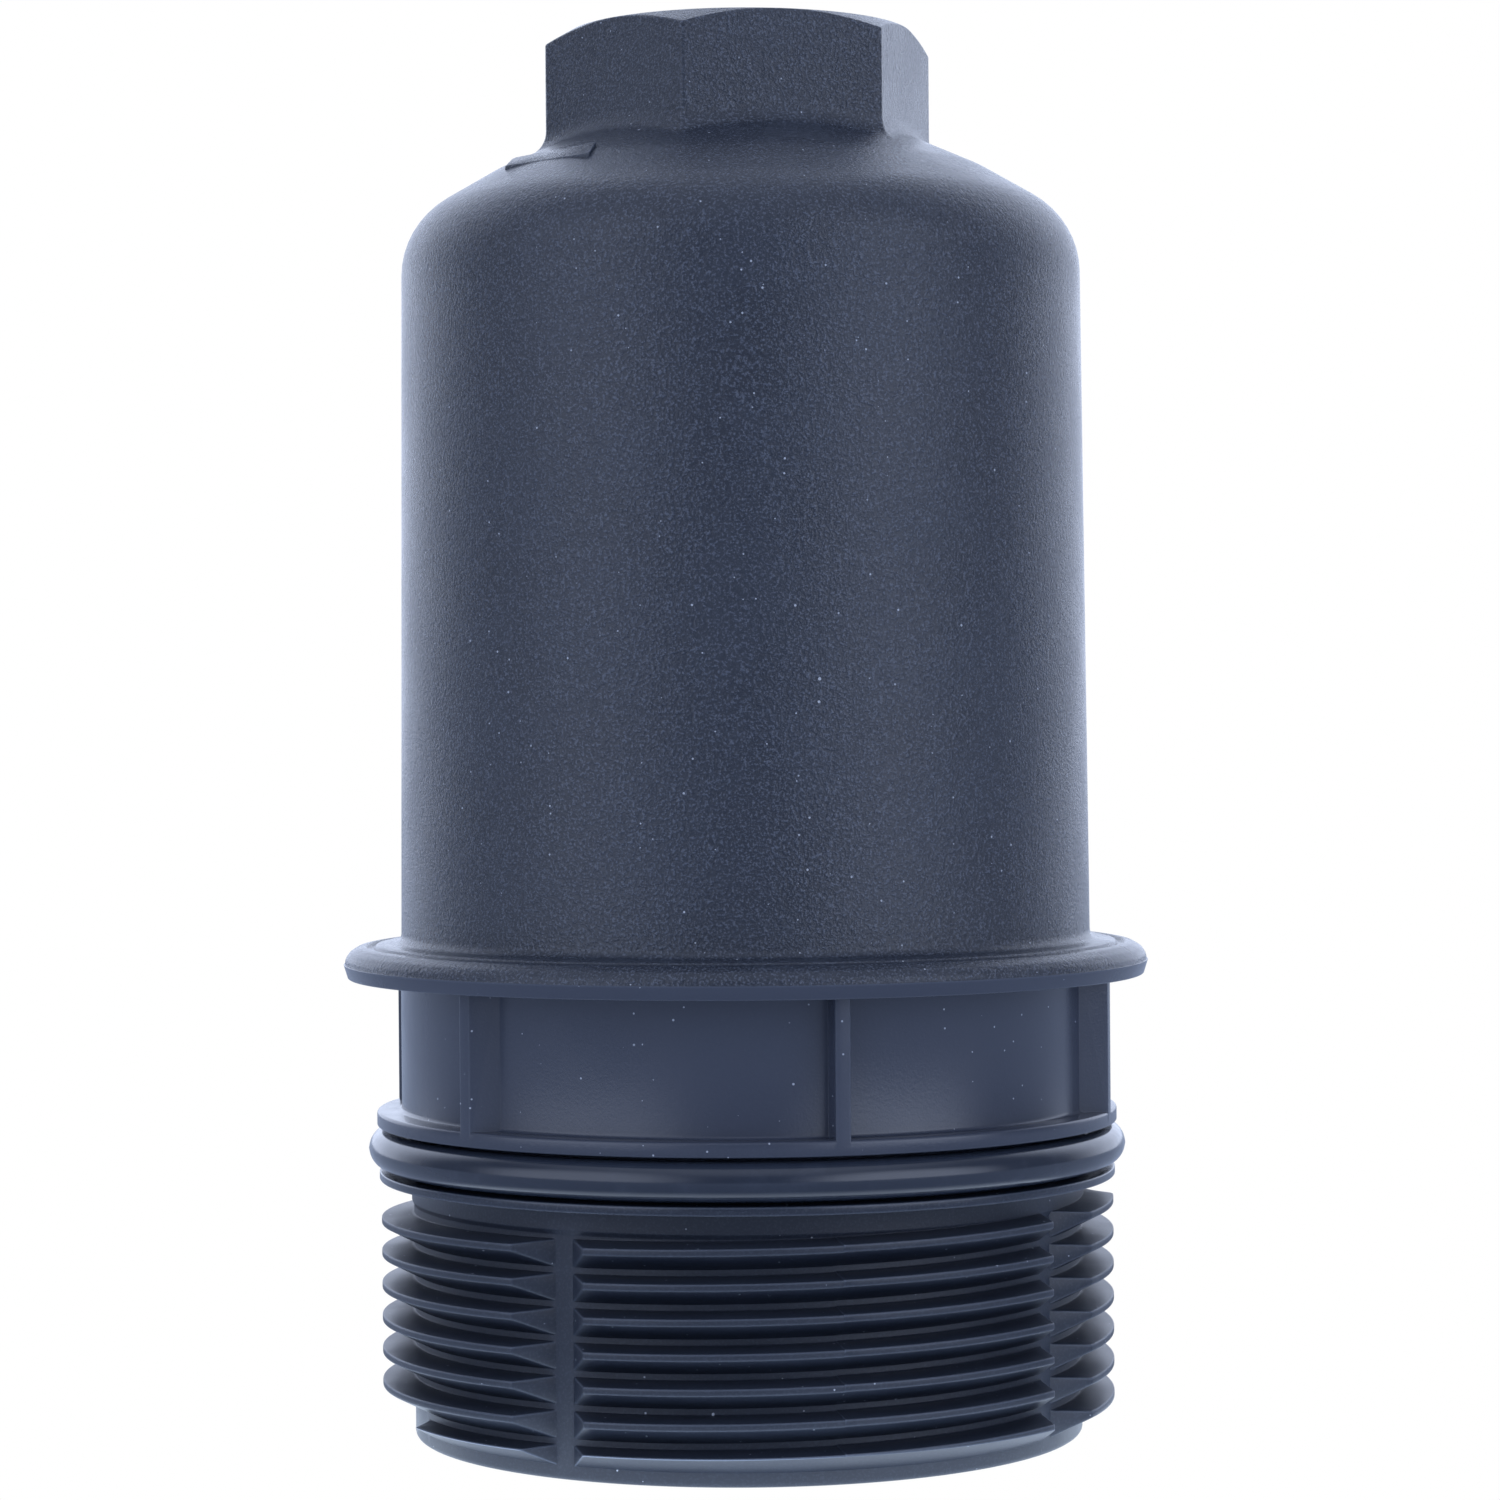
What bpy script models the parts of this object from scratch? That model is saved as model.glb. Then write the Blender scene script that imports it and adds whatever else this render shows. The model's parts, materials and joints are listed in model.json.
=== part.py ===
"""Cartridge oil filter: a screw-on moulded housing cap with its O-ring, a swivelling stem
that carries the bypass valve, and a pleated filter element that pulls off downwards.

Run in Blender 4.5. The cap stands on its open rim: the origin is the centre of the rim's
end face, +Z is the screw axis towards the hexagon. Lengths below are in millimetres and
angles in degrees; MM turns a length into metres where a mesh is made. An angle is measured
from -Y towards +X.
"""
import math

import bmesh
import bpy

MM = 0.001
GAP = 0.3                    # clearance between neighbouring pieces
CAP_SIDES = 48               # flats round the cap's and the stem's turned surfaces
STEM_SIDES = 24

# Moulded cap
CAP_HEIGHT = 130.0
SPANNER_SIZE = 32.0          # hexagon across flats
CLOCKING = 14.0              # angle of a hexagon face, a rib and the thread's parting line
BODY_FOOT = (32.08, 47.0)    # radius and height where the smooth wall starts
BODY_HEAD = (31.58, 105.1)   # and where the shoulder starts
SHOULDER_ARC = 9.9           # rounding between the wall and the shoulder's cone
SHOULDER_ARC_HEIGHT = 106.3
SHOULDER_SLOPE = 30.25
SHOULDER_POINT = (22.95, 117.0)
HEAD_SLOPE = 24.0            # from that point in to the hexagon
FLANGE_RADIUS = 37.45
FLANGE_UNDERSIDE = 42.5
FLANGE_TOP = 45.6
RING_RADIUS = 34.45          # lip above the O-ring, and outer edge of the ribs
LOWER_LIP_RADIUS = 34.26
GROOVE = (24.65, 28.87)      # O-ring groove, low and high
GROOVE_FLOOR = 31.35
PANEL_RADIUS = 32.15         # wall between the ribs
RING_TOP = 30.24
RIB_COUNT = 6
RIB_WIDTH = 1.4
CAVITY_MOUTH_RADIUS = 28.9
CAVITY_HEAD = (28.45, 103.5)
SOCKET_RADIUS = 12.5         # blind hole in the hexagon that the stem turns in
SOCKET_TOP = 126.4
CLIP_GROOVE = (119.5, 121.0)
CLIP_GROOVE_RADIUS = 13.5

# Thread
THREAD_ROOT = 31.1
THREAD_CREST = 34.0
PITCH = 3.0
TURNS = 7
TOP_CREST_HEIGHT = 20.77     # crest of the highest turn, at angle 0
CREST_HALF = 0.3
UPPER_FLANK = 0.27           # axial run of each flank
LOWER_FLANK = 1.5
SEGMENT_HALF_CHORD = 21.34   # each quarter is cut by planes this far from its middle
LEAD_IN = (1.6, 3.0)         # chamfer at the thread's start, low and high
THREAD_START = -70.0         # angle where the lowest turn begins

# O-rings: middle radius of the ring, radius of the cord, middle height
CAP_O_RING = (33.44, 1.765, 26.76)
FOOT_O_RING_HEIGHTS = {"foot_o_ring_lower": 5.1, "foot_o_ring_upper": 9.3}
FOOT_O_RING = (8.2, 0.9)

# Stem and bypass valve
STEM_FOOT = 2.0
FOOT_RADIUS = 8.2
FOOT_BORE = 5.8
FOOT_TOP = 21.0              # top of the spigot that plugs into the stem
STEM_RADIUS = 9.5
STEM_BORE = 7.9
COLLAR_RADIUS = 11.2         # where the element's seals ride
COLLAR_TOP = 17.0
LEDGE = 80.0                 # carries the spring seat
BARREL_BORE = 9.6
BARREL_TOP = 103.3
VALVE_RADIUS = 12.1
VALVE_TOP = 124.8
SEAT_HEIGHT = 103.9          # underside of the land that the valve closes against
SEAT_HOLE = 6.0
PLUNGER_RADIUS = 7.4
SPRING_RADIUS = 5.5
SPRING_WIRE = 0.6
SPRING_TURNS = 6

# Element
ELEMENT_FOOT = 11.2
ELEMENT_TOP = 101.9
END_CAP_RADIUS = 26.2
END_CAP_THICK = 4.0
END_CAP_LIP = 2.4
SEAL_RADII = (11.5, 13.4)
CORE_RADII = (12.2, 13.4)
PLEAT_RADII = (14.2, 25.2)
PLEAT_COUNT = 40
PLEAT_FOLD = 4.0             # radial depth of the paper at each fold
BAND_RADII = (25.5, 26.0)
SEAM_ANGLE = 150.0
SEAM_WIDTH = 16.0


def reset_scene():
    for thing in list(bpy.data.objects):
        bpy.data.objects.remove(thing)


def plastic(name, colour, roughness, metallic=0.0):
    """A Principled material, made once for each name."""
    material = bpy.data.materials.get(name)
    if material is None:
        material = bpy.data.materials.new(name)
        material.use_nodes = True
        shader = material.node_tree.nodes["Principled BSDF"]
        shader.inputs["Base Color"].default_value = (*colour, 1.0)
        shader.inputs["Roughness"].default_value = roughness
        shader.inputs["Metallic"].default_value = metallic
    return material


def on_circle(radius, angle, height):
    """A point in metres, with the angle measured from -Y towards +X."""
    turn = math.radians(angle)
    return (radius * math.sin(turn) * MM, -radius * math.cos(turn) * MM, height * MM)


def finished(name, mesh, material, parent=None):
    """Turn a bmesh into an object, smooth where its faces nearly line up."""
    bmesh.ops.recalc_face_normals(mesh, faces=mesh.faces)
    data = bpy.data.meshes.new(name)
    mesh.to_mesh(data)
    mesh.free()
    data.materials.append(material)
    data.shade_smooth()
    data.set_sharp_from_angle(angle=math.radians(35))
    thing = bpy.data.objects.new(name, data)
    bpy.context.collection.objects.link(thing)
    thing.parent = parent
    return thing


def add_turned(mesh, profile, segments, start=0.0, sweep=360.0):
    """Turn (radius, height) corners, listed anticlockwise, round Z. A sweep under a full
    turn gets two flat ends. Corners at radius 0 become one point on the axis."""
    closed = sweep >= 360.0
    steps = segments if closed else segments + 1
    rings = []
    for radius, height in profile:
        if radius == 0.0:
            rings.append([mesh.verts.new((0.0, 0.0, height * MM))])
            continue
        angles = [start + sweep * step / segments for step in range(steps)]
        rings.append([mesh.verts.new(on_circle(radius, angle, height)) for angle in angles])
    for low, high in zip(rings, rings[1:] + rings[:1]):
        if len(low) == 1 and len(high) == 1:
            continue
        for step in range(segments):
            after = (step + 1) % steps
            corners = [low[step % len(low)], low[after % len(low)],
                       high[after % len(high)], high[step % len(high)]]
            mesh.faces.new(list(dict.fromkeys(corners)))
    if not closed:
        mesh.faces.new([ring[0] for ring in rings])
        mesh.faces.new([ring[-1] for ring in rings])


def turned(name, profile, segments, material, parent=None, start=0.0, sweep=360.0):
    mesh = bmesh.new()
    add_turned(mesh, profile, segments, start, sweep)
    return finished(name, mesh, material, parent)


def ring_section(inner, outer, low, high):
    """The rectangle that turns into a plain ring."""
    return [(inner, low), (outer, low), (outer, high), (inner, high)]


def o_ring(name, middle_radius, cord_radius, height, segments, sides, material, parent):
    """A torus; its cord's section starts at the inside, so its faces point out."""
    section = []
    for side in range(sides):
        turn = 2.0 * math.pi * (side + 0.5) / sides
        section.append((middle_radius + cord_radius * math.cos(turn),
                        height + cord_radius * math.sin(turn)))
    return turned(name, section, segments, material, parent)


def add_prism(mesh, outline, low, high):
    """Extrude a closed list of (x, y) corners, in millimetres, between two heights."""
    bottom = [mesh.verts.new((x * MM, y * MM, low * MM)) for x, y in outline]
    top = [mesh.verts.new((x * MM, y * MM, high * MM)) for x, y in outline]
    mesh.faces.new(bottom)
    mesh.faces.new(top)
    for index in range(len(outline)):
        after = (index + 1) % len(outline)
        mesh.faces.new([bottom[index], bottom[after], top[after], top[index]])


def add_radial_block(mesh, angle, radii, width, heights):
    """A block that points out from the axis at one angle."""
    turn = math.radians(angle)
    outward = (math.sin(turn), -math.cos(turn))
    across = (math.cos(turn), math.sin(turn))
    outline = []
    for radius, side in ((radii[0], -0.5), (radii[1], -0.5), (radii[1], 0.5), (radii[0], 0.5)):
        outline.append((outward[0] * radius + across[0] * width * side,
                        outward[1] * radius + across[1] * width * side))
    add_prism(mesh, outline, *heights)


def combine(target, tool, operation):
    """Unite, cut or intersect the target with a tool, which is then discarded."""
    modifier = target.modifiers.new(operation.lower(), "BOOLEAN")
    modifier.operation = operation
    modifier.solver = "EXACT"
    modifier.object = tool
    evaluated = target.evaluated_get(bpy.context.evaluated_depsgraph_get())
    result = bpy.data.meshes.new_from_object(evaluated)
    target.modifiers.clear()
    target.data = result
    bpy.data.objects.remove(tool)


def cone_height(radius):
    """Height of the shoulder's two cones at one radius."""
    slope = SHOULDER_SLOPE if radius > SHOULDER_POINT[0] else HEAD_SLOPE
    return SHOULDER_POINT[1] - (radius - SHOULDER_POINT[0]) * math.tan(math.radians(slope))


def shoulder_profile():
    """The cap's crown, from the top of the wall in under the hexagon: an arc, then two cones."""
    middle = (BODY_HEAD[0] - SHOULDER_ARC, SHOULDER_ARC_HEIGHT)
    steps = 5
    points = []
    for step in range(steps + 1):
        turn = math.radians((90.0 - SHOULDER_SLOPE) * step / steps)
        points.append((middle[0] + SHOULDER_ARC * math.cos(turn),
                       middle[1] + SHOULDER_ARC * math.sin(turn)))
    inside = SPANNER_SIZE / 2.0 - 1.0
    return points + [SHOULDER_POINT, (inside, cone_height(inside)), (0.0, cone_height(inside))]


def cap_outside_profile():
    return [
        (0.0, 0.0), (THREAD_ROOT - 0.3, 0.0), (THREAD_ROOT, 0.3), (THREAD_ROOT, 23.84),
        (LOWER_LIP_RADIUS, 23.84), (LOWER_LIP_RADIUS, GROOVE[0]),
        (GROOVE_FLOOR, GROOVE[0]), (GROOVE_FLOOR, GROOVE[1]),
        (RING_RADIUS, GROOVE[1]), (RING_RADIUS, RING_TOP),
        (PANEL_RADIUS, RING_TOP), (PANEL_RADIUS, FLANGE_UNDERSIDE),
        (FLANGE_RADIUS - 0.45, FLANGE_UNDERSIDE), (FLANGE_RADIUS, 43.8),
        (FLANGE_RADIUS - 0.08, 45.1), (FLANGE_RADIUS - 0.6, FLANGE_TOP),
        (34.5, FLANGE_TOP), (33.6, FLANGE_TOP - 0.3), (32.5, FLANGE_TOP + 0.3), BODY_FOOT,
    ] + shoulder_profile()


def cap_cavity_profile():
    """The hollow inside the cap, starting below the rim so that it cuts right through."""
    return [
        (0.0, -2.0), (CAVITY_MOUTH_RADIUS, -2.0), (CAVITY_MOUTH_RADIUS, 0.0),
        CAVITY_HEAD, (28.0, 107.4), (26.5, 110.8), (24.0, 112.9), (17.6, 116.3),
        (SOCKET_RADIUS + 0.6, 118.0), (SOCKET_RADIUS, 118.6), (SOCKET_RADIUS, CLIP_GROOVE[0]),
        (CLIP_GROOVE_RADIUS, CLIP_GROOVE[0]), (CLIP_GROOVE_RADIUS, CLIP_GROOVE[1]),
        (SOCKET_RADIUS, CLIP_GROOVE[1]), (SOCKET_RADIUS, SOCKET_TOP), (0.0, SOCKET_TOP),
    ]


def hexagon(material):
    """The spanner hexagon: a prism with its corners chamfered at 30 degrees by a cone."""
    corner = SPANNER_SIZE / 2.0 / math.cos(math.radians(30))
    mesh = bmesh.new()
    outline = []
    for index in range(6):
        turn = math.radians(CLOCKING + 30.0 + 60.0 * index)
        outline.append((corner * math.sin(turn), -corner * math.cos(turn)))
    add_prism(mesh, outline, 117.5, CAP_HEIGHT)
    solid = finished("hexagon", mesh, material)
    chamfer_start = 15.9
    reach = 22.0
    drop = (reach - chamfer_start) * math.tan(math.radians(30))
    cone = [(0.0, 116.0), (reach, 116.0), (reach, CAP_HEIGHT - drop),
            (chamfer_start, CAP_HEIGHT), (0.0, CAP_HEIGHT + 1.0)]
    combine(solid, turned("chamfer", cone, CAP_SIDES, material), "INTERSECT")
    return solid


def ribs(material):
    """The ribs between the upper lip and the flange."""
    mesh = bmesh.new()
    for index in range(RIB_COUNT):
        angle = CLOCKING + 360.0 / RIB_COUNT * index
        add_radial_block(mesh, angle, (30.5, RING_RADIUS - 0.1), RIB_WIDTH,
                         (RING_TOP - 0.8, FLANGE_UNDERSIDE + 0.8))
    return finished("ribs", mesh, material)


def gauge_pad(material):
    """The small raised mark on the shoulder, in front of one hexagon face: a parallelogram
    whose inner edge is shifted sideways."""
    outer, inner, half_width, shift, lift = 24.0, 21.6, 5.7, -1.7, 0.35
    outline = [(outer, -half_width), (outer, half_width),
               (inner, half_width + shift), (inner, shift - half_width)]
    turn = math.radians(CLOCKING - 60.0)
    mesh = bmesh.new()
    layers = []
    for rise in (-1.5, lift):
        layers.append([mesh.verts.new((
            (math.sin(turn) * distance + math.cos(turn) * across) * MM,
            (-math.cos(turn) * distance + math.sin(turn) * across) * MM,
            (cone_height(math.hypot(distance, across)) + rise) * MM))
            for distance, across in outline])
    bmesh.ops.contextual_create(mesh, geom=layers[0])
    bmesh.ops.contextual_create(mesh, geom=layers[1])
    for index in range(4):
        after = (index + 1) % 4
        mesh.faces.new([layers[0][index], layers[0][after], layers[1][after], layers[1][index]])
    return finished("gauge_pad", mesh, material)


def add_thread_fin(mesh, middle, turn_index, first=-1.0):
    """One turn's stretch of thread across one quarter, whole or from a share of it on. Its
    ends lie in planes parallel to the quarter's middle, so that it draws from a mould."""
    section = [(THREAD_ROOT - 0.6, -CREST_HALF - LOWER_FLANK),
               (THREAD_ROOT, -CREST_HALF - LOWER_FLANK),
               (THREAD_CREST, -CREST_HALF), (THREAD_CREST, CREST_HALF),
               (THREAD_ROOT, CREST_HALF + UPPER_FLANK),
               (THREAD_ROOT - 0.6, CREST_HALF + UPPER_FLANK)]
    steps = 7
    rings = []
    for step in range(steps + 1):
        share = first + (1.0 - first) * step / steps
        ring = []
        for radius, rise in section:
            angle = middle + share * math.degrees(math.asin(SEGMENT_HALF_CHORD / radius))
            height = TOP_CREST_HEIGHT + PITCH * angle / 360.0 - PITCH * turn_index + rise
            height = max(height, LEAD_IN[0] / 2.0)
            chamfered = THREAD_ROOT + (height - LEAD_IN[0]) * (
                (THREAD_CREST - THREAD_ROOT) / (LEAD_IN[1] - LEAD_IN[0]))
            radius = min(radius, max(chamfered, THREAD_ROOT - 0.6))
            ring.append(mesh.verts.new(on_circle(radius, angle, height)))
        rings.append(ring)
    for ring, following in zip(rings, rings[1:]):
        for index in range(len(section)):
            after = (index + 1) % len(section)
            mesh.faces.new([ring[index], ring[after], following[after], following[index]])
    mesh.faces.new(rings[0])
    mesh.faces.new(rings[-1])


def thread(material):
    """Four quarters of right-hand buttress thread, parted by plain bars."""
    mesh = bmesh.new()
    half_sweep = math.degrees(math.asin(SEGMENT_HALF_CHORD / THREAD_ROOT))
    for quarter in (-2, -1, 0, 1):
        middle = CLOCKING + 90.0 * quarter
        for turn_index in range(TURNS):
            first = (THREAD_START - middle) / half_sweep if turn_index == TURNS - 1 else -1.0
            if first < 1.0:
                add_thread_fin(mesh, middle, turn_index, max(first, -1.0))
    return finished("thread", mesh, material)


def housing_cap(parent):
    """The cap is one moulding: outside, hexagon, ribs, thread and pad, then hollowed."""
    shell = plastic("cap_plastic", (0.036, 0.046, 0.075), 0.45)
    cap = turned("housing_cap", cap_outside_profile(), CAP_SIDES, shell, parent)
    combine(cap, hexagon(shell), "UNION")
    combine(cap, ribs(shell), "UNION")
    combine(cap, gauge_pad(shell), "UNION")
    combine(cap, thread(shell), "UNION")
    combine(cap, turned("cavity", cap_cavity_profile(), CAP_SIDES, shell), "DIFFERENCE")
    return cap


def stem_foot(parent):
    """The stem's outlet: two O-ring grooves, a collar for the element, and a spigot."""
    nylon = plastic("stem_plastic", (0.02, 0.02, 0.022), 0.5)
    floor = FOOT_RADIUS - 1.2
    half_groove = 1.3
    profile = [(FOOT_BORE, STEM_FOOT), (FOOT_RADIUS - 0.4, STEM_FOOT),
               (FOOT_RADIUS, STEM_FOOT + 0.5)]
    for middle in FOOT_O_RING_HEIGHTS.values():
        profile += [(FOOT_RADIUS, middle - half_groove), (floor, middle - half_groove),
                    (floor, middle + half_groove), (FOOT_RADIUS, middle + half_groove)]
    spigot = STEM_BORE - GAP
    profile += [(FOOT_RADIUS, 11.6), (COLLAR_RADIUS, 12.6), (COLLAR_RADIUS, COLLAR_TOP),
                (spigot, COLLAR_TOP), (spigot, FOOT_TOP), (FOOT_BORE, FOOT_TOP)]
    return turned("stem_foot", profile, STEM_SIDES, nylon, parent)


def core_stem(parent):
    """The hollow stem: a windowed tube that widens into the bypass valve's barrel."""
    nylon = plastic("stem_plastic", (0.02, 0.02, 0.022), 0.5)
    base = COLLAR_TOP + GAP
    profile = [(STEM_BORE, base), (STEM_RADIUS + 0.6, base), (STEM_RADIUS, base + 0.6),
               (STEM_RADIUS, LEDGE - 3.0), (COLLAR_RADIUS, LEDGE - 1.5),
               (COLLAR_RADIUS, BARREL_TOP), (BARREL_BORE, BARREL_TOP), (BARREL_BORE, LEDGE),
               (STEM_BORE, LEDGE)]
    stem = turned("core_stem", profile, STEM_SIDES, nylon, parent)
    windows = bmesh.new()
    for row in range(3):
        low = 24.0 + 18.0 * row
        for column in range(4):
            add_radial_block(windows, 90.0 * column, (5.0, 12.0), 7.0, (low, low + 14.0))
    combine(stem, finished("windows", windows, nylon), "DIFFERENCE")
    return stem


def valve_housing(parent):
    """The bypass valve's body: it plugs into the cap's socket and holds the valve seat."""
    nylon = plastic("stem_plastic", (0.02, 0.02, 0.022), 0.5)
    base = BARREL_TOP + GAP
    chamber = 9.6
    groove = (CLIP_GROOVE[0] + 0.05, CLIP_GROOVE[1] - 0.05)
    profile = [(SEAT_HOLE + 2.6, base), (VALVE_RADIUS, base), (VALVE_RADIUS, groove[0]),
               (VALVE_RADIUS - 1.3, groove[0]), (VALVE_RADIUS - 1.3, groove[1]),
               (VALVE_RADIUS, groove[1]), (VALVE_RADIUS, VALVE_TOP - 0.8),
               (VALVE_RADIUS - 0.8, VALVE_TOP), (0.0, VALVE_TOP), (0.0, VALVE_TOP - 2.4),
               (chamber, VALVE_TOP - 2.4), (chamber, SEAT_HEIGHT + 1.6),
               (SEAT_HOLE, SEAT_HEIGHT + 1.6), (SEAT_HOLE, SEAT_HEIGHT),
               (SEAT_HOLE + 2.6, SEAT_HEIGHT)]
    housing = turned("valve_housing", profile, STEM_SIDES, nylon, parent)
    windows = bmesh.new()
    for column in range(4):
        add_radial_block(windows, 90.0 * column + 3.0, (7.0, 14.0), 8.0, (107.0, 115.0))
    combine(housing, finished("windows", windows, nylon), "DIFFERENCE")
    return housing


def swivel_clip(parent):
    """Split ring that keeps the stem in the socket and lets it turn."""
    steel = plastic("spring_steel", (0.5, 0.5, 0.52), 0.3, 1.0)
    section = ring_section(VALVE_RADIUS - 1.0, CLIP_GROOVE_RADIUS - GAP,
                           CLIP_GROOVE[0] + 0.35, CLIP_GROOVE[1] - 0.35)
    return turned("swivel_clip", section, 30, steel, parent, start=190.0, sweep=335.0)


def spring_seat(parent):
    """Washer on the barrel's ledge, under the bypass spring."""
    steel = plastic("spring_steel", (0.5, 0.5, 0.52), 0.3, 1.0)
    low = LEDGE + GAP
    profile = [(4.2, low), (BARREL_BORE - GAP, low), (BARREL_BORE - GAP, low + 1.2),
               (SPRING_RADIUS + SPRING_WIRE + GAP, low + 1.2),
               (SPRING_RADIUS + SPRING_WIRE + GAP, low + 0.8), (4.2, low + 0.8)]
    return turned("spring_seat", profile, STEM_SIDES, steel, parent)


def bypass_plunger(parent):
    """The valve's disc, with a pin that guides the spring."""
    brass = plastic("plunger_brass", (0.6, 0.42, 0.18), 0.35, 1.0)
    profile = [(0.0, 88.0), (2.1, 88.0), (2.5, 88.6), (2.5, 99.4), (3.2, 100.2),
               (PLUNGER_RADIUS - 0.3, 100.2), (PLUNGER_RADIUS, 100.5), (PLUNGER_RADIUS, 101.9),
               (PLUNGER_RADIUS - 0.3, 102.2), (0.0, 102.2)]
    return turned("bypass_plunger", profile, STEM_SIDES, brass, parent)


def bypass_spring(parent):
    """Compression spring, its turns closer together at the ends."""
    steel = plastic("spring_steel", (0.5, 0.5, 0.52), 0.3, 1.0)
    low = LEDGE + GAP + 0.8 + GAP + SPRING_WIRE
    high = 100.2 - GAP - SPRING_WIRE
    sides = 5
    steps = 10 * SPRING_TURNS
    mesh = bmesh.new()
    rings = []
    for step in range(steps + 1):
        share = step / steps
        rise = share - math.sin(2.0 * math.pi * share) / (2.0 * math.pi) * 0.75
        ring = []
        for side in range(sides):
            turn = 2.0 * math.pi * side / sides
            ring.append(mesh.verts.new(on_circle(
                SPRING_RADIUS + SPRING_WIRE * math.cos(turn), 360.0 * SPRING_TURNS * share,
                low + (high - low) * rise + SPRING_WIRE * math.sin(turn))))
        rings.append(ring)
    for ring, following in zip(rings, rings[1:]):
        for side in range(sides):
            after = (side + 1) % sides
            mesh.faces.new([ring[side], ring[after], following[after], following[side]])
    mesh.faces.new(rings[0])
    mesh.faces.new(rings[-1])
    return finished("bypass_spring", mesh, steel, parent)


def pleat_pack(parent):
    """Filter paper folded into a star and closed into a ring."""
    paper = plastic("filter_paper", (0.78, 0.66, 0.40), 0.9)
    inner, outer = PLEAT_RADII
    low = ELEMENT_FOOT + END_CAP_THICK + GAP
    high = ELEMENT_TOP - END_CAP_THICK - GAP
    mesh = bmesh.new()
    loops = {}
    for level in (low, high):
        for side, (valley, tip) in {"outside": (inner + PLEAT_FOLD, outer),
                                    "inside": (inner, outer - PLEAT_FOLD)}.items():
            loops[level, side] = [
                mesh.verts.new(on_circle(valley if index % 2 else tip,
                                         180.0 / PLEAT_COUNT * index, level))
                for index in range(2 * PLEAT_COUNT)]
    walls = [((low, "outside"), (high, "outside")), ((high, "outside"), (high, "inside")),
             ((high, "inside"), (low, "inside")), ((low, "inside"), (low, "outside"))]
    for first, second in walls:
        for index in range(2 * PLEAT_COUNT):
            after = (index + 1) % (2 * PLEAT_COUNT)
            mesh.faces.new([loops[first][index], loops[first][after],
                            loops[second][after], loops[second][index]])
    return finished("pleat_pack", mesh, paper, parent)


def end_cap(name, base, direction, parent):
    """A moulded ring round the pleats' end, with an inner channel for its seal."""
    nylon = plastic("element_plastic", (0.035, 0.036, 0.04), 0.55)
    seal_outer = SEAL_RADII[1] + GAP
    section = [(seal_outer - 1.4, 0.0), (END_CAP_RADIUS - 0.4, 0.0), (END_CAP_RADIUS, 0.4),
               (END_CAP_RADIUS, END_CAP_THICK + END_CAP_LIP),
               (END_CAP_RADIUS - 0.7, END_CAP_THICK + END_CAP_LIP),
               (END_CAP_RADIUS - 0.7, END_CAP_THICK), (seal_outer - 1.4, END_CAP_THICK),
               (seal_outer - 1.4, END_CAP_THICK - 0.8), (seal_outer, END_CAP_THICK - 0.8),
               (seal_outer, 0.8), (seal_outer - 1.4, 0.8)]
    profile = [(radius, base + direction * height) for radius, height in section]
    return turned(name, profile, STEM_SIDES, nylon, parent)


def support_core(parent):
    """Perforated tube that keeps the pleats from folding in."""
    nylon = plastic("element_plastic", (0.035, 0.036, 0.04), 0.55)
    low = ELEMENT_FOOT + END_CAP_THICK + GAP
    high = ELEMENT_TOP - END_CAP_THICK - GAP
    tube = turned("support_core", ring_section(*CORE_RADII, low, high), STEM_SIDES, nylon, parent)
    rows, columns = 4, 6
    spacing = (high - low) / rows
    windows = bmesh.new()
    for row in range(rows):
        floor = low + spacing * row + 2.0
        for column in range(columns):
            add_radial_block(windows, 360.0 / columns * column + 7.0, (10.0, 15.0), 8.0,
                             (floor, floor + spacing - 4.0))
    combine(tube, finished("windows", windows, nylon), "DIFFERENCE")
    return tube


def element_pieces(parent):
    """The replaceable element: paper, end caps, core, seals, seam clip and spacing threads."""
    rubber = plastic("seal_rubber", (0.012, 0.012, 0.014), 0.35)
    glue = plastic("hot_melt", (0.75, 0.72, 0.62), 0.5)
    tin = plastic("tinplate", (0.6, 0.6, 0.62), 0.35, 1.0)
    pleat_pack(parent)
    support_core(parent)
    end_cap("lower_end_cap", ELEMENT_FOOT, 1.0, parent)
    end_cap("upper_end_cap", ELEMENT_TOP, -1.0, parent)
    channel = 0.8 + GAP
    for name, low in (("lower_seal_ring", ELEMENT_FOOT + channel),
                      ("upper_seal_ring", ELEMENT_TOP - END_CAP_THICK + channel)):
        high = low + END_CAP_THICK - 2.0 * channel
        turned(name, ring_section(*SEAL_RADII, low, high), STEM_SIDES, rubber, parent)
    clear = END_CAP_THICK + END_CAP_LIP + GAP
    turned("pleat_seam_clip",
           ring_section(*BAND_RADII, ELEMENT_FOOT + clear, ELEMENT_TOP - clear),
           3, tin, parent, start=SEAM_ANGLE - SEAM_WIDTH / 2.0, sweep=SEAM_WIDTH)
    for name, low in (("lower_pleat_thread", 41.0), ("upper_pleat_thread", 70.0)):
        turned(name, ring_section(*BAND_RADII, low, low + 1.2), 36, glue, parent,
               start=SEAM_ANGLE + SEAM_WIDTH / 2.0 + 1.0, sweep=360.0 - SEAM_WIDTH - 2.0)


def pivot(name, parent=None):
    """An empty on the screw axis, where each moving group turns or slides."""
    empty = bpy.data.objects.new(name, None)
    bpy.context.collection.objects.link(empty)
    empty.parent = parent
    return empty


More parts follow.
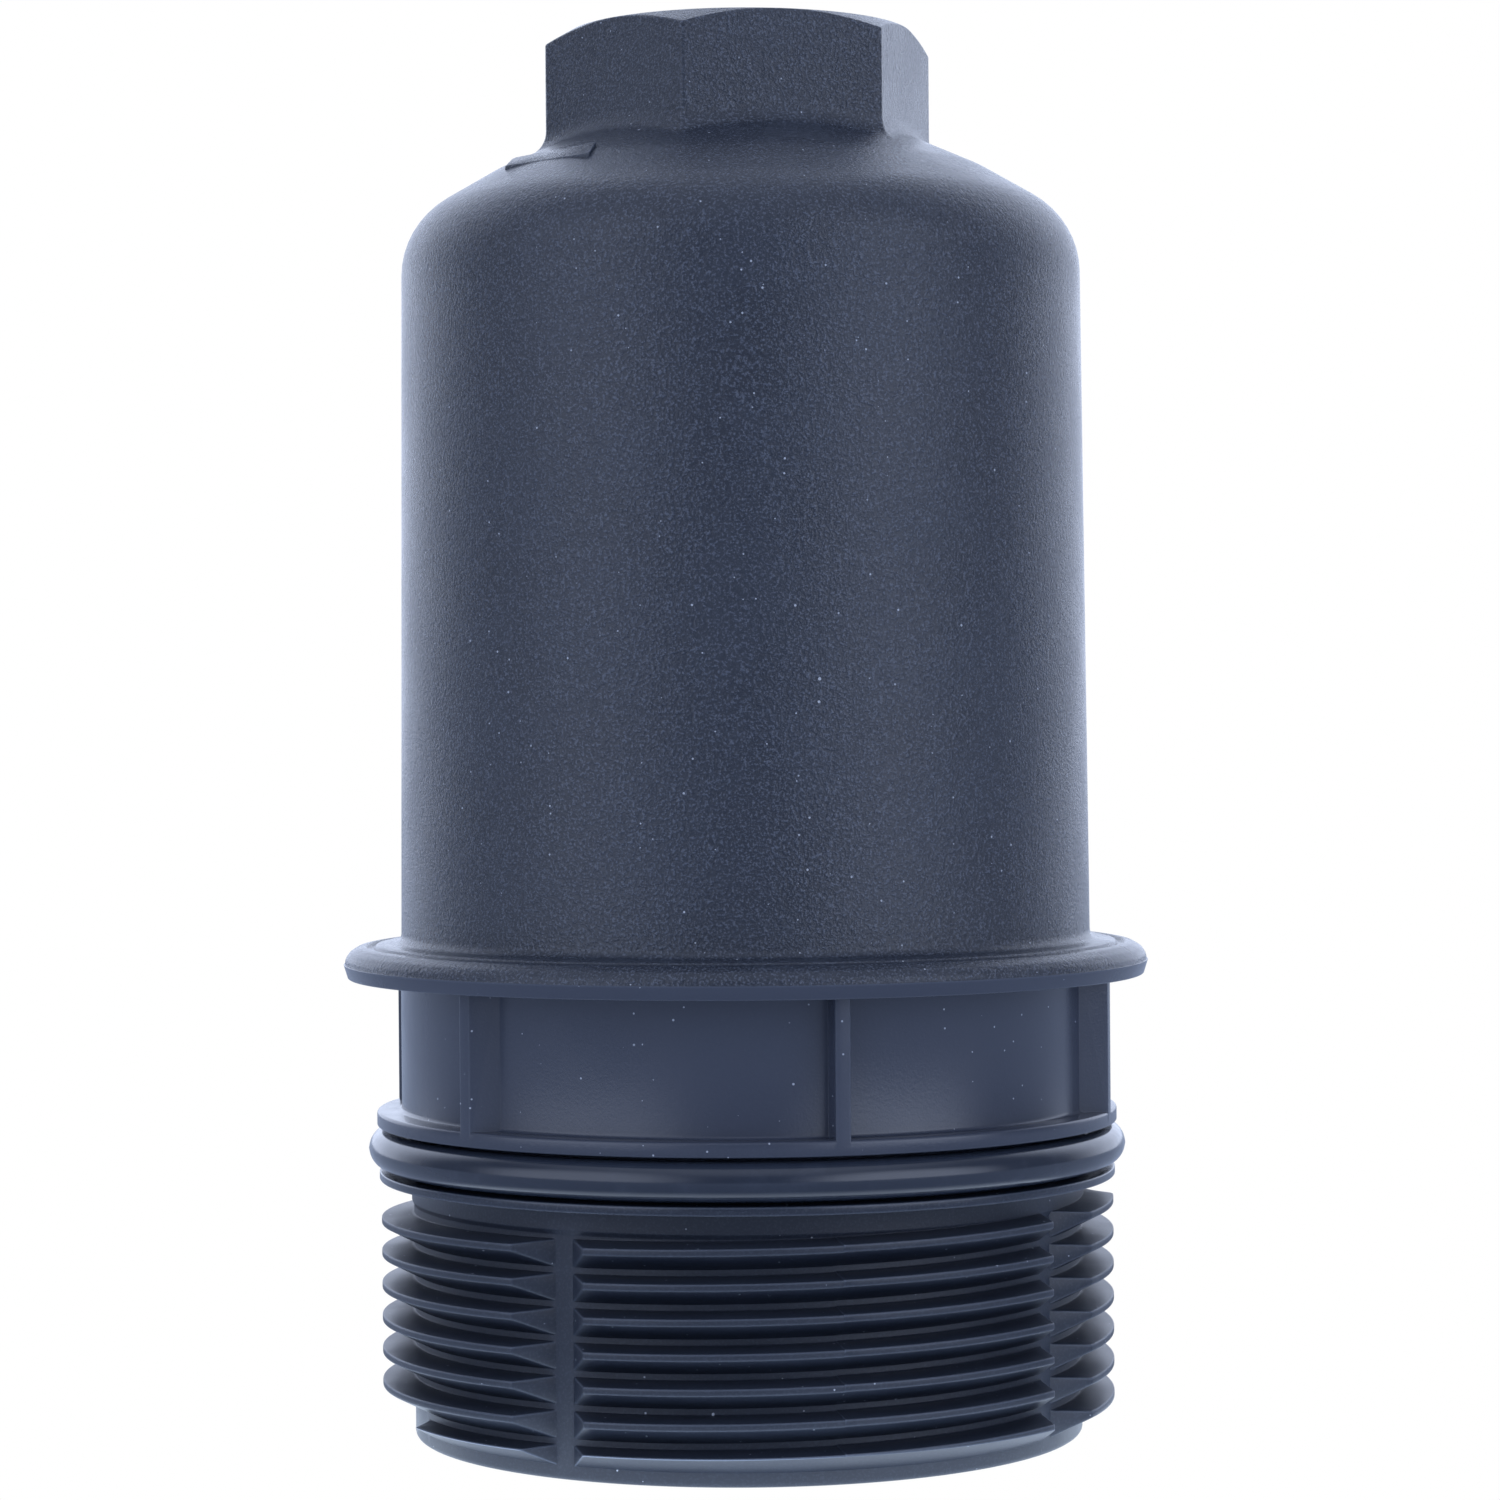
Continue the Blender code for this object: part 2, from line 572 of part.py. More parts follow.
def build():
    reset_scene()
    rubber = plastic("seal_rubber", (0.012, 0.012, 0.014), 0.35)
    cap_group = pivot("cap_group")
    stem_group = pivot("stem_group", cap_group)
    plunger_group = pivot("plunger_group", stem_group)
    element_group = pivot("element_group", cap_group)
    housing_cap(cap_group)
    o_ring("cap_o_ring", *CAP_O_RING, CAP_SIDES, 8, rubber, cap_group)
    stem_foot(stem_group)
    core_stem(stem_group)
    valve_housing(stem_group)
    swivel_clip(stem_group)
    for name, height in FOOT_O_RING_HEIGHTS.items():
        o_ring(name, *FOOT_O_RING, height, STEM_SIDES, 8, rubber, stem_group)
    spring_seat(stem_group)
    bypass_spring(stem_group)
    bypass_plunger(plunger_group)
    seal_low = 102.2 + GAP
    turned("plunger_seal", ring_section(SEAT_HOLE - 1.0, PLUNGER_RADIUS - 0.2, seal_low,
                                        SEAT_HEIGHT - GAP), STEM_SIDES, rubber, plunger_group)
    element_pieces(element_group)


build()
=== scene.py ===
"""Looks of a cartridge oil filter: a screw-on moulded housing cap, standing on its open rim.

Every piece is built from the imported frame's own sizes, in metres; lengths written here are
millimetres and MM turns them into metres. Angles are measured from -Y towards +X.
"""
import json
from math import asin, atan, atan2, cos, degrees, exp, hypot, pi, radians, sin, sqrt, tan

import bpy
import numpy as np
from mathutils import Matrix, Vector


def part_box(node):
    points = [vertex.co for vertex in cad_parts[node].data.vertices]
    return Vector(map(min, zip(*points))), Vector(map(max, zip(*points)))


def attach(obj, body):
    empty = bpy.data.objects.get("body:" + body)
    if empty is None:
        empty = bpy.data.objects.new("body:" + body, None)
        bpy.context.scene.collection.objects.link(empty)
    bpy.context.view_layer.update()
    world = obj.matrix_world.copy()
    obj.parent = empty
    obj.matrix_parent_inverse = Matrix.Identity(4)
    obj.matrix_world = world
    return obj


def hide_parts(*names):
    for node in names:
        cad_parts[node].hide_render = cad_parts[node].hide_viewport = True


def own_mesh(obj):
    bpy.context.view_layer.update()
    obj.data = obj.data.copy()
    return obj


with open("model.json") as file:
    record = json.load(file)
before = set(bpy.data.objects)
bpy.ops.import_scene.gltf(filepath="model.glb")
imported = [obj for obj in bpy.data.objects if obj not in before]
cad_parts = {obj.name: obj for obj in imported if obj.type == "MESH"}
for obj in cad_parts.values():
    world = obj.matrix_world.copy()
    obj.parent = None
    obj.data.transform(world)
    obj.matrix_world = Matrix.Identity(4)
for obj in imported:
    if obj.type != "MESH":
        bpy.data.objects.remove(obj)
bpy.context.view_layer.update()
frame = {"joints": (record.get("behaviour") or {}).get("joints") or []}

MM = 0.001
FINE = 288                   # columns round the cap
CLOCKING = 14.0              # angle of a hexagon face, a rib and the parting line
SHARP = 32.0                 # degrees between two faces past which their edge stays sharp
SIDE_SHARE = 0.45            # the most of a side that the rounding of one corner takes


# ---------------------------------------------------------------- mesh tools

def sizes(node):
    """A CAD node's outer radius, low and high, in millimetres."""
    low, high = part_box(node)
    return high.x / MM, low.z / MM, high.z / MM


def rounded(corners, steps=4):
    """An outline of (radius, height) points from corners of (radius, height, rounding)."""
    outline = []
    for index, (x, y, rounding) in enumerate(corners):
        if rounding == 0.0:
            outline.append((x, y))
            continue
        here = Vector((x, y))
        back = Vector(corners[index - 1][:2]) - here
        ahead = Vector(corners[(index + 1) % len(corners)][:2]) - here
        half = back.angle(ahead) / 2.0
        reach = min(rounding / tan(half), SIDE_SHARE * back.length, SIDE_SHARE * ahead.length)
        radius = reach * tan(half)
        middle = here + (back.normalized() + ahead.normalized()).normalized() * (
            radius / sin(half))
        first = here + back.normalized() * reach - middle
        last = here + ahead.normalized() * reach - middle
        turn = first.angle_signed(last)
        for step in range(steps + 1):
            angle = -turn * step / steps
            outline.append((
                middle.x + first.x * cos(angle) - first.y * sin(angle),
                middle.y + first.x * sin(angle) + first.y * cos(angle)))
    return outline


def about_axis(turn, outward, across, height):
    """A point so far outward from Z and so far across, at an angle in radians."""
    return (outward * sin(turn) + across * cos(turn),
            -outward * cos(turn) + across * sin(turn), height)


def finished(name, points, faces, material=None, sharp=SHARP):
    """A mesh object from points in millimetres, smooth where its faces nearly line up."""
    data = bpy.data.meshes.new(name)
    data.from_pydata((np.asarray(points, float) * MM).tolist(), [], faces)
    data.validate()
    data.shade_smooth()
    data.set_sharp_from_angle(angle=radians(sharp))
    if material:
        data.materials.append(material)
    thing = bpy.data.objects.new(name, data)
    bpy.context.collection.objects.link(thing)
    return thing


def swept(name, outlines, angles, material=None, sharp=SHARP, closed=True):
    """A solid from one outline at each angle round Z. It joins up with itself, or has two
    flat ends if it isn't closed. A row of points on the axis becomes one point."""
    outlines = np.asarray(outlines, float)
    angles = np.radians(np.asarray(angles, float))
    columns, rows = outlines.shape[:2]
    points = []
    index = np.zeros((rows, columns), int)
    for row in range(rows):
        radii, heights = outlines[:, row, 0], outlines[:, row, 1]
        if np.all(radii == 0.0):
            index[row, :] = len(points)
            points.append((0.0, 0.0, heights[0]))
            continue
        index[row, :] = np.arange(len(points), len(points) + columns)
        points.extend(zip(radii * np.sin(angles), -radii * np.cos(angles), heights))
    faces = []
    for row in range(rows):
        low, high = index[row], index[(row + 1) % rows]
        if low[0] == low[1] and high[0] == high[1]:
            continue
        for column in range(columns if closed else columns - 1):
            after = (column + 1) % columns
            corners = [low[column], low[after], high[after], high[column]]
            faces.append([int(c) for c in dict.fromkeys(corners)])
    if not closed:
        faces.append([int(i) for i in index[::-1, 0]])
        faces.append([int(i) for i in index[:, -1]])
    return finished(name, points, faces, material, sharp)


def turned(name, outline, sides, material=None, sharp=SHARP):
    """A solid of revolution from one outline."""
    angles = np.arange(sides) * 360.0 / sides
    outlines = np.broadcast_to(outline, (sides, len(outline), 2))
    return swept(name, outlines, angles, material, sharp)


def combine(target, tool, operation):
    """Unite, cut or intersect the target with a tool, which is then discarded."""
    modifier = target.modifiers.new(operation.lower(), "BOOLEAN")
    modifier.operation = operation
    modifier.solver = "MANIFOLD"
    modifier.object = tool
    evaluated = target.evaluated_get(bpy.context.evaluated_depsgraph_get())
    result = bpy.data.meshes.new_from_object(evaluated)
    target.modifiers.clear()
    target.data = result
    result.shade_smooth()
    result.set_sharp_from_angle(angle=radians(SHARP))
    bpy.data.objects.remove(tool)


def dressed(piece, material):
    """A piece made of several solids, with one material for all of its faces."""
    piece.data.materials.clear()
    piece.data.materials.append(material)
    return piece


def side_faces(first, second, size):
    """The faces between two rings of points that start at first and at second."""
    faces = []
    for index in range(size):
        after = (index + 1) % size
        faces.append([first + index, first + after, second + after, second + index])
    return faces


def tube_faces(rings, size):
    """The faces of a closed solid whose points are rings of one size, one after another."""
    last = (rings - 1) * size
    faces = [list(reversed(range(size))), list(range(last, last + size))]
    for start in range(0, last, size):
        faces += side_faces(start, start + size, size)
    return faces


def shifted(faces, start):
    """The same faces for points that come after the first ones."""
    return [[start + corner for corner in face] for face in faces]


# ---------------------------------------------------------------- materials

class Nodes:
    """A short way to write shader nodes."""

    def __init__(self, owner, place="Object"):
        owner.use_nodes = True
        self.owner = owner
        self.tree = owner.node_tree
        self.place = self.add("ShaderNodeTexCoord").outputs[place]

    def add(self, kind, **settings):
        node = self.tree.nodes.new(kind)
        for key, value in settings.items():
            setattr(node, key, value)
        return node

    def join(self, source, socket):
        if isinstance(source, (int, float)):
            socket.default_value = source
        elif isinstance(source, (tuple, list)):
            socket.default_value = (*source, 1.0) if len(source) == 3 else source
        else:
            self.tree.links.new(source, socket)

    def noise(self, size_mm, detail=3.0, roughness=0.5, distortion=0.0, place=None):
        """Noise whose features are about size_mm across."""
        node = self.add("ShaderNodeTexNoise")
        self.join(place or self.place, node.inputs["Vector"])
        node.inputs["Scale"].default_value = 1.0 / (size_mm * MM)
        node.inputs["Detail"].default_value = detail
        node.inputs["Roughness"].default_value = roughness
        node.inputs["Distortion"].default_value = distortion
        return node.outputs["Fac"]

    def stretched(self, x, y, z):
        """The place that textures are read from, scaled along each axis."""
        node = self.add("ShaderNodeMapping")
        self.join(self.place, node.inputs["Vector"])
        node.inputs["Scale"].default_value = (x, y, z)
        return node.outputs["Vector"]

    def axes(self):
        """The place's X, Y and Z."""
        split = self.add("ShaderNodeSeparateXYZ")
        self.join(self.place, split.inputs["Vector"])
        return split.outputs

    def height(self):
        """Height above the frame's origin, in millimetres."""
        return self.times(self.axes()["Z"], 1.0 / MM)

    def math(self, operation, first, second=0.0, third=0.0):
        node = self.add("ShaderNodeMath", operation=operation)
        for socket, value in zip(node.inputs, (first, second, third)):
            self.join(value, socket)
        return node.outputs["Value"]

    def times(self, first, second):
        return self.math("MULTIPLY", first, second)

    def plus(self, first, second):
        return self.math("ADD", first, second)

    def ramp(self, source, low, high, first=0.0, last=1.0):
        """Source between low and high becomes first to last, clamped, eased at both ends."""
        node = self.add("ShaderNodeMapRange", interpolation_type="SMOOTHSTEP")
        self.join(source, node.inputs["Value"])
        for key, value in (("From Min", low), ("From Max", high),
                           ("To Min", first), ("To Max", last)):
            node.inputs[key].default_value = value
        return node.outputs["Result"]

    def mix(self, share, first, second):
        """A share of the second colour in the first, by the node's colour sockets."""
        node = self.add("ShaderNodeMix", data_type="RGBA")
        self.join(share, node.inputs["Factor"])
        self.join(first, node.inputs[6])
        self.join(second, node.inputs[7])
        return node.outputs[2]

    def bump(self, height, depth_mm, before=None):
        """The normal of a relief that is depth_mm high where height is 1."""
        node = self.add("ShaderNodeBump")
        node.inputs["Distance"].default_value = depth_mm * MM
        self.join(height, node.inputs["Height"])
        if before is not None:
            self.join(before, node.inputs["Normal"])
        return node.outputs["Normal"]

    def cells(self, size_mm):
        """Irregular cells: the distance from each one's middle, and its random colour."""
        node = self.add("ShaderNodeTexVoronoi")
        self.join(self.place, node.inputs["Vector"])
        node.inputs["Scale"].default_value = 1.0 / (size_mm * MM)
        tint = self.add("ShaderNodeSeparateColor")
        self.join(node.outputs["Color"], tint.inputs["Color"])
        return node.outputs["Distance"], tint.outputs

    def specks(self, cell_mm, share, radius):
        """Rare round specks, one in some of the cells: 1 on a speck and 0 elsewhere."""
        distance, random = self.cells(cell_mm)
        chosen = self.math("LESS_THAN", random["Red"], share)
        near = self.math("LESS_THAN", distance, self.times(random["Green"], radius))
        return self.times(chosen, near)

    def scratches(self, size_mm, width, share):
        """Rare thin curved lines: 1 on a scratch and 0 elsewhere."""
        path = self.noise(size_mm, 1.0, 0.5, 1.2)
        away = self.math("ABSOLUTE", self.math("SUBTRACT", path, 0.5))
        patch = self.noise(size_mm * 0.55, 1.0, 0.5, 0.0, self.stretched(1.0, 1.3, 0.8))
        return self.times(self.math("LESS_THAN", away, width),
                          self.math("GREATER_THAN", patch, 1.0 - share))

    def soft_edges(self, radius_mm):
        """The surface's normal, turned a little where it nears an edge."""
        node = self.add("ShaderNodeBevel", samples=4)
        node.inputs["Radius"].default_value = radius_mm * MM
        return node.outputs["Normal"]

    def outer_edges(self, radius_mm):
        """1 on outward edges, which have little material close behind them, and 0 elsewhere."""
        node = self.add("ShaderNodeAmbientOcclusion", samples=4, inside=True, only_local=True)
        node.inputs["Distance"].default_value = radius_mm * MM
        return self.ramp(node.outputs["AO"], 0.55, 0.95, 1.0, 0.0)

    def done(self, colour, roughness, normal=None, metallic=0.0, **constants):
        """Give the principled shader its inputs, and return the material."""
        shader = self.tree.nodes["Principled BSDF"]
        self.join(colour, shader.inputs["Base Color"])
        self.join(roughness, shader.inputs["Roughness"])
        shader.inputs["Metallic"].default_value = metallic
        if normal is not None:
            self.join(normal, shader.inputs["Normal"])
        for key, value in constants.items():
            shader.inputs[key.replace("_", " ")].default_value = value
        return self.owner


def new_material(name):
    return Nodes(bpy.data.materials.new(name))


# Heights in millimetres, on the cap, between which one finish turns into the next, and where the
# painted light on the panels begins.
ERODED_ABOVE = (43.70, 43.85)       # the flange's parting line
PANEL_LIGHT_ABOVE = (24.0, 31.0)           # the panels between the ribs, where the painted floor light starts and the painted edge highlight weakens
SATIN_ABOVE = (22.0, 24.5)          # the thread below is matt


def moulded_plastic():
    """Dark slate-blue glass-filled nylon: spark-eroded above the flange's parting line and matt
    on the thread. The panels between the ribs are made paler by painted light from the floor,
    and outward edges carry a painted highlight, most of all on the thread. It has faint
    mottling, specks of dust and a few scratches."""
    n = new_material("moulded_plastic")
    height = n.height()
    eroded = n.ramp(height, *ERODED_ABOVE)
    mottling = n.noise(9.0, 4.0)
    colour = n.mix(n.ramp(mottling, 0.3, 0.7), (0.0153, 0.0203, 0.0333), (0.0188, 0.0249, 0.0400))
    grain = n.noise(0.23, 2.0, 0.7)
    grains = n.times(n.ramp(grain, 0.48, 0.68), n.plus(n.times(eroded, 0.80), 0.20))
    colour = n.mix(grains, colour, (0.074, 0.088, 0.122))
    # Painted light: the panels between the ribs are made paler, standing in for light from the
    # floor below.
    panel_floor_light = n.times(n.ramp(height, *PANEL_LIGHT_ABOVE), n.math("SUBTRACT", 1.0, eroded))
    colour = n.mix(n.times(panel_floor_light, 0.8), colour, (0.053, 0.062, 0.090))
    dust = n.math("MAXIMUM", n.specks(3.1, 0.40, 0.048), n.specks(0.9, 0.30, 0.115))
    scratch = n.times(n.scratches(8.0, 0.0018, 0.22), 0.35)
    marks = n.math("MAXIMUM", n.times(dust, 0.75), scratch)
    # Painted highlight: outward edges are made paler, strongest on the thread, standing in for
    # the light they catch.
    edge_highlight = n.times(n.outer_edges(0.20), n.ramp(height, *PANEL_LIGHT_ABOVE, 0.95, 0.33))
    colour = n.mix(edge_highlight, colour, (0.15, 0.18, 0.24))
    colour = n.mix(marks, colour, (0.50, 0.54, 0.62))
    rough = n.plus(n.times(eroded, 0.03), n.ramp(height, *SATIN_ABOVE, 0.41, 0.20))
    rough = n.plus(rough, n.ramp(mottling, 0.35, 0.65, 0.0, 0.06))
    coarse = n.noise(0.42, 2.0)
    pattern = n.plus(n.times(grain, 0.70), n.times(coarse, 0.45))
    depth = n.times(pattern, n.plus(n.times(eroded, 0.88), 0.12))
    normal = n.bump(depth, 0.13, n.soft_edges(0.12))
    return n.done(colour, rough, normal)


def o_ring_rubber():
    """Black nitrile rubber with a faint bloom and fine handling marks."""
    n = new_material("o_ring_rubber")
    bloom = n.ramp(n.noise(3.0, 4.0, 0.6), 0.5, 0.8)
    colour = n.mix(bloom, (0.022, 0.029, 0.046), (0.030, 0.038, 0.058))
    marks = n.math("MAXIMUM", n.scratches(7.0, 0.002, 0.30), n.specks(2.0, 0.20, 0.05))
    colour = n.mix(n.times(marks, 0.30), colour, (0.40, 0.44, 0.52))
    rough = n.ramp(n.noise(1.6, 3.0), 0.3, 0.7, 0.15, 0.21)
    normal = n.bump(n.noise(0.8, 2.0), 0.004)
    return n.done(colour, rough, normal, IOR=1.52)


def stem_nylon():
    """Black glass-filled nylon with pale fibre streaks along the flow."""
    n = new_material("stem_nylon")
    flow = n.stretched(1.0, 1.0, 0.25)
    streaks = n.noise(1.1, 4.0, 0.65, 0.4, flow)
    colour = n.mix(n.ramp(streaks, 0.45, 0.75), (0.016, 0.017, 0.019), (0.040, 0.041, 0.044))
    colour = n.mix(n.times(n.specks(1.6, 0.04, 0.07), 0.5), colour, (0.30, 0.31, 0.33))
    rough = n.ramp(n.noise(3.0, 3.0), 0.3, 0.7, 0.36, 0.50)
    normal = n.bump(n.noise(0.22, 2.0, 0.6, 0.0, flow), 0.030, n.soft_edges(0.10))
    return n.done(colour, rough, normal)


def element_nylon():
    """Dark grey unfilled nylon of the element's frame, a little mottled."""
    n = new_material("element_nylon")
    mottling = n.noise(5.0, 4.0, 0.6)
    colour = n.mix(n.ramp(mottling, 0.3, 0.7), (0.030, 0.031, 0.035), (0.044, 0.045, 0.050))
    colour = n.mix(n.times(n.specks(1.8, 0.05, 0.07), 0.5), colour, (0.34, 0.33, 0.30))
    rough = n.ramp(n.noise(2.0, 3.0), 0.3, 0.7, 0.42, 0.58)
    normal = n.bump(n.noise(0.30, 2.0, 0.6), 0.030, n.soft_edges(0.10))
    return n.done(colour, rough, normal)


def drawn_steel():
    """Bright spring steel, drawn and oiled, with faint darker stains."""
    n = new_material("drawn_steel")
    stains = n.noise(4.0, 4.0, 0.6)
    colour = n.mix(n.ramp(stains, 0.45, 0.75), (0.56, 0.56, 0.57), (0.38, 0.36, 0.34))
    lines = n.noise(0.35, 3.0, 0.7, 0.0, n.stretched(1.0, 1.0, 6.0))
    rough = n.ramp(lines, 0.3, 0.7, 0.22, 0.40)
    return n.done(colour, rough, n.bump(lines, 0.006), metallic=1.0)


def turned_brass():
    """Brass with the fine rings that a lathe leaves, slightly tarnished."""
    n = new_material("turned_brass")
    ring_spacing = 0.16 * MM
    x, y, z = n.axes()
    radius = n.math("SQRT", n.plus(n.times(x, x), n.times(y, y)))
    along = n.plus(radius, z)
    rings = n.math("SINE", n.times(along, 2.0 * pi / ring_spacing))
    tarnish = n.noise(3.0, 4.0, 0.6)
    colour = n.mix(n.ramp(tarnish, 0.45, 0.75), (0.68, 0.47, 0.20), (0.40, 0.25, 0.11))
    rough = n.ramp(tarnish, 0.3, 0.7, 0.24, 0.42)
    return n.done(colour, rough, n.bump(rings, 0.004), metallic=1.0)


def tinned_sheet():
    """Tinned steel strip with a soft spangle."""
    n = new_material("tinned_sheet")
    spangle = n.cells(2.2)[1]["Red"]
    colour = n.mix(spangle, (0.58, 0.58, 0.59), (0.72, 0.72, 0.72))
    rough = n.ramp(n.noise(1.0, 4.0, 0.6), 0.3, 0.7, 0.24, 0.44)
    return n.done(colour, rough, n.bump(n.noise(0.5, 3.0), 0.010), metallic=1.0)


def filter_paper():
    """Resin-treated filter paper: matted fibres, a cloudy tint and fine corrugation."""
    n = new_material("filter_paper")
    wave_spacing = 2.1
    fibres = n.noise(0.5, 6.0, 0.75, 1.5)
    cloud = n.noise(6.0, 3.0)
    colour = n.mix(n.ramp(fibres, 0.3, 0.7), (0.58, 0.43, 0.20), (0.78, 0.64, 0.38))
    colour = n.mix(n.times(n.ramp(cloud, 0.4, 0.7), 0.35), colour, (0.70, 0.53, 0.26))
    waves = n.math("SINE", n.times(n.height(), 2.0 * pi / wave_spacing))
    relief = n.plus(n.times(fibres, 0.5), n.times(waves, 0.5))
    return n.done(colour, 0.88, n.bump(relief, 0.10), Sheen_Weight=0.15, Specular_IOR_Level=0.2)


def hot_melt():
    """Cream hot-melt glue, waxy and slightly lumpy."""
    n = new_material("hot_melt")
    lumps = n.noise(1.4, 3.0)
    colour = n.mix(n.ramp(lumps, 0.35, 0.7), (0.66, 0.60, 0.44), (0.80, 0.76, 0.62))
    rough = n.ramp(n.noise(0.8, 3.0), 0.3, 0.7, 0.28, 0.46)
    return n.done(colour, rough, n.bump(lumps, 0.05))


# ---------------------------------------------------------------- housing cap

BODY_FOOT = (32.08, 47.0)
BODY_HEAD = (31.58, 105.1)
BODY_LEAN = 0.06                    # how far the wall leans in from there to the shoulder
SHOULDER_SLOPE = radians(30.25)
HEAD_SLOPE = radians(24.0)          # from the shoulder's point in to the hexagon
SHOULDER_POINT = (22.95, 117.0)
HEX_INSIDE = 16.0                   # half the size across flats
HEX_ROUNDING = 0.55
HEX_FILLET = 2.4                    # between the hexagon and the shoulder
CHAMFER_START = 15.9
CHAMFER_SLOPE = radians(30.0)
CAP_TOP = 130.0
THREAD_ROOT = 31.1
THREAD_CREST = 34.1
PITCH = 3.0
TURNS = 7
TOP_CREST_HEIGHT = 20.77
SEGMENT_HALF_CHORD = 21.34
THREAD_START = -70.0                # angle where the lowest turn begins
THREAD_END = 94.0                   # angle where the highest turn ends
THREAD_FADE = 8.0                   # degrees over which both of them fade


def cone_height(radius):
    """Height of the shoulder's two cones at one radius."""
    slope = SHOULDER_SLOPE if radius > SHOULDER_POINT[0] else HEAD_SLOPE
    return SHOULDER_POINT[1] - (radius - SHOULDER_POINT[0]) * tan(slope)


def hexagon_radius(angle):
    """Distance from the axis to the hexagon with rounded corners, at one angle."""
    half_side = radians(30)
    from_corner = radians((angle - CLOCKING) % 60.0 - 30.0)
    centre = (HEX_INSIDE - HEX_ROUNDING) / cos(half_side)
    across = HEX_INSIDE * tan(half_side) - HEX_ROUNDING * tan(half_side)
    if abs(from_corner) > half_side - atan(across / HEX_INSIDE):
        return HEX_INSIDE / cos(half_side - abs(from_corner))
    return centre * cos(from_corner) + sqrt(HEX_ROUNDING ** 2 - (centre * sin(from_corner)) ** 2)


def cap_outline(angle):
    """The cap's section at one angle: up the outside, over the top and down the cavity."""
    hexagon = hexagon_radius(angle)
    chamfer_foot = CAP_TOP - (hexagon - CHAMFER_START) * tan(CHAMFER_SLOPE)
    wall_at_cone = BODY_HEAD[0] - BODY_LEAN
    lower = rounded([
        (28.9, 0.0, 0.0), (THREAD_ROOT, 0.0, 0.45), (THREAD_ROOT, 21.5, 0.3),
        (31.3, 21.9, 0.3), (31.3, 23.84, 0.25), (34.26, 23.84, 0.16), (34.26, 24.65, 0.14),
        (31.35, 24.65, 0.3), (31.35, 28.87, 0.3), (34.45, 28.87, 0.14), (34.45, 30.24, 0.28),
        (32.15, 30.24, 0.35), (32.15, 42.5, 0.35), (37.05, 42.5, 0.16), (37.44, 43.78, 0.04),
        (37.32, 43.8, 0.03), (37.26, 44.3, 0.9), (36.85, 44.9, 0.9), (36.1, 45.36, 0.9),
        (35.35, 45.5, 0.3), (35.15, 45.14, 0.12), (34.65, 45.14, 0.12), (34.4, 45.55, 0.15),
        (33.9, 45.66, 0.2), (BODY_FOOT[0], 45.75, 1.5), (BODY_HEAD[0], BODY_HEAD[1], 0.0)])
    crown = rounded([
        (BODY_FOOT[0], BODY_FOOT[1], 0.0), (wall_at_cone, cone_height(wall_at_cone), 9.9),
        (*SHOULDER_POINT, 12.0), (hexagon, cone_height(hexagon), HEX_FILLET),
        (hexagon, chamfer_foot, 0.35),
        (CHAMFER_START, CAP_TOP, 0.3), (0.0, CAP_TOP, 0.0)], steps=8)
    cavity = rounded([
        (0.0, 126.4, 0.0), (12.5, 126.4, 0.8), (12.5, 121.0, 0.1), (13.5, 121.0, 0.1),
        (13.5, 119.5, 0.1), (12.5, 119.5, 0.1), (12.5, 118.7, 0.5),
        (21.4, 114.2, 4.0), (28.4, 110.1, 9.0), (28.9, 0.4, 0.0)])
    return lower[:-1] + crown[1:] + cavity


def cap_angles():
    """Even columns, with extra ones where the hexagon's corners turn."""
    angles = set(round(360.0 / FINE * index, 4) for index in range(FINE))
    for corner in range(6):
        for offset in (-1.6, -1.1, -0.85, -0.6, -0.4, -0.2, 0.0, 0.2, 0.4, 0.6, 0.85, 1.1, 1.6):
            angles.add(round((CLOCKING + 30.0 + 60.0 * corner + offset) % 360.0, 4))
    ordered = sorted(angles)
    closest = 0.08
    return [here for here, ahead in zip(ordered, ordered[1:] + [360.0])
            if ahead - here > closest]


def thread_fin_outline(inset=0.0):
    """One thread's section about its crest: nearly flat above, sloping below."""
    return rounded([
        (30.6, -2.05 + inset, 0.0), (31.25, -1.76 + inset, 0.35),
        (THREAD_CREST - inset, -0.3 + inset * 0.5, 0.14),
        (THREAD_CREST - inset, 0.3 - inset * 0.5, 0.12),
        (31.3, 0.56 - inset, 0.25), (30.6, 0.85 - inset, 0.0)], steps=3)


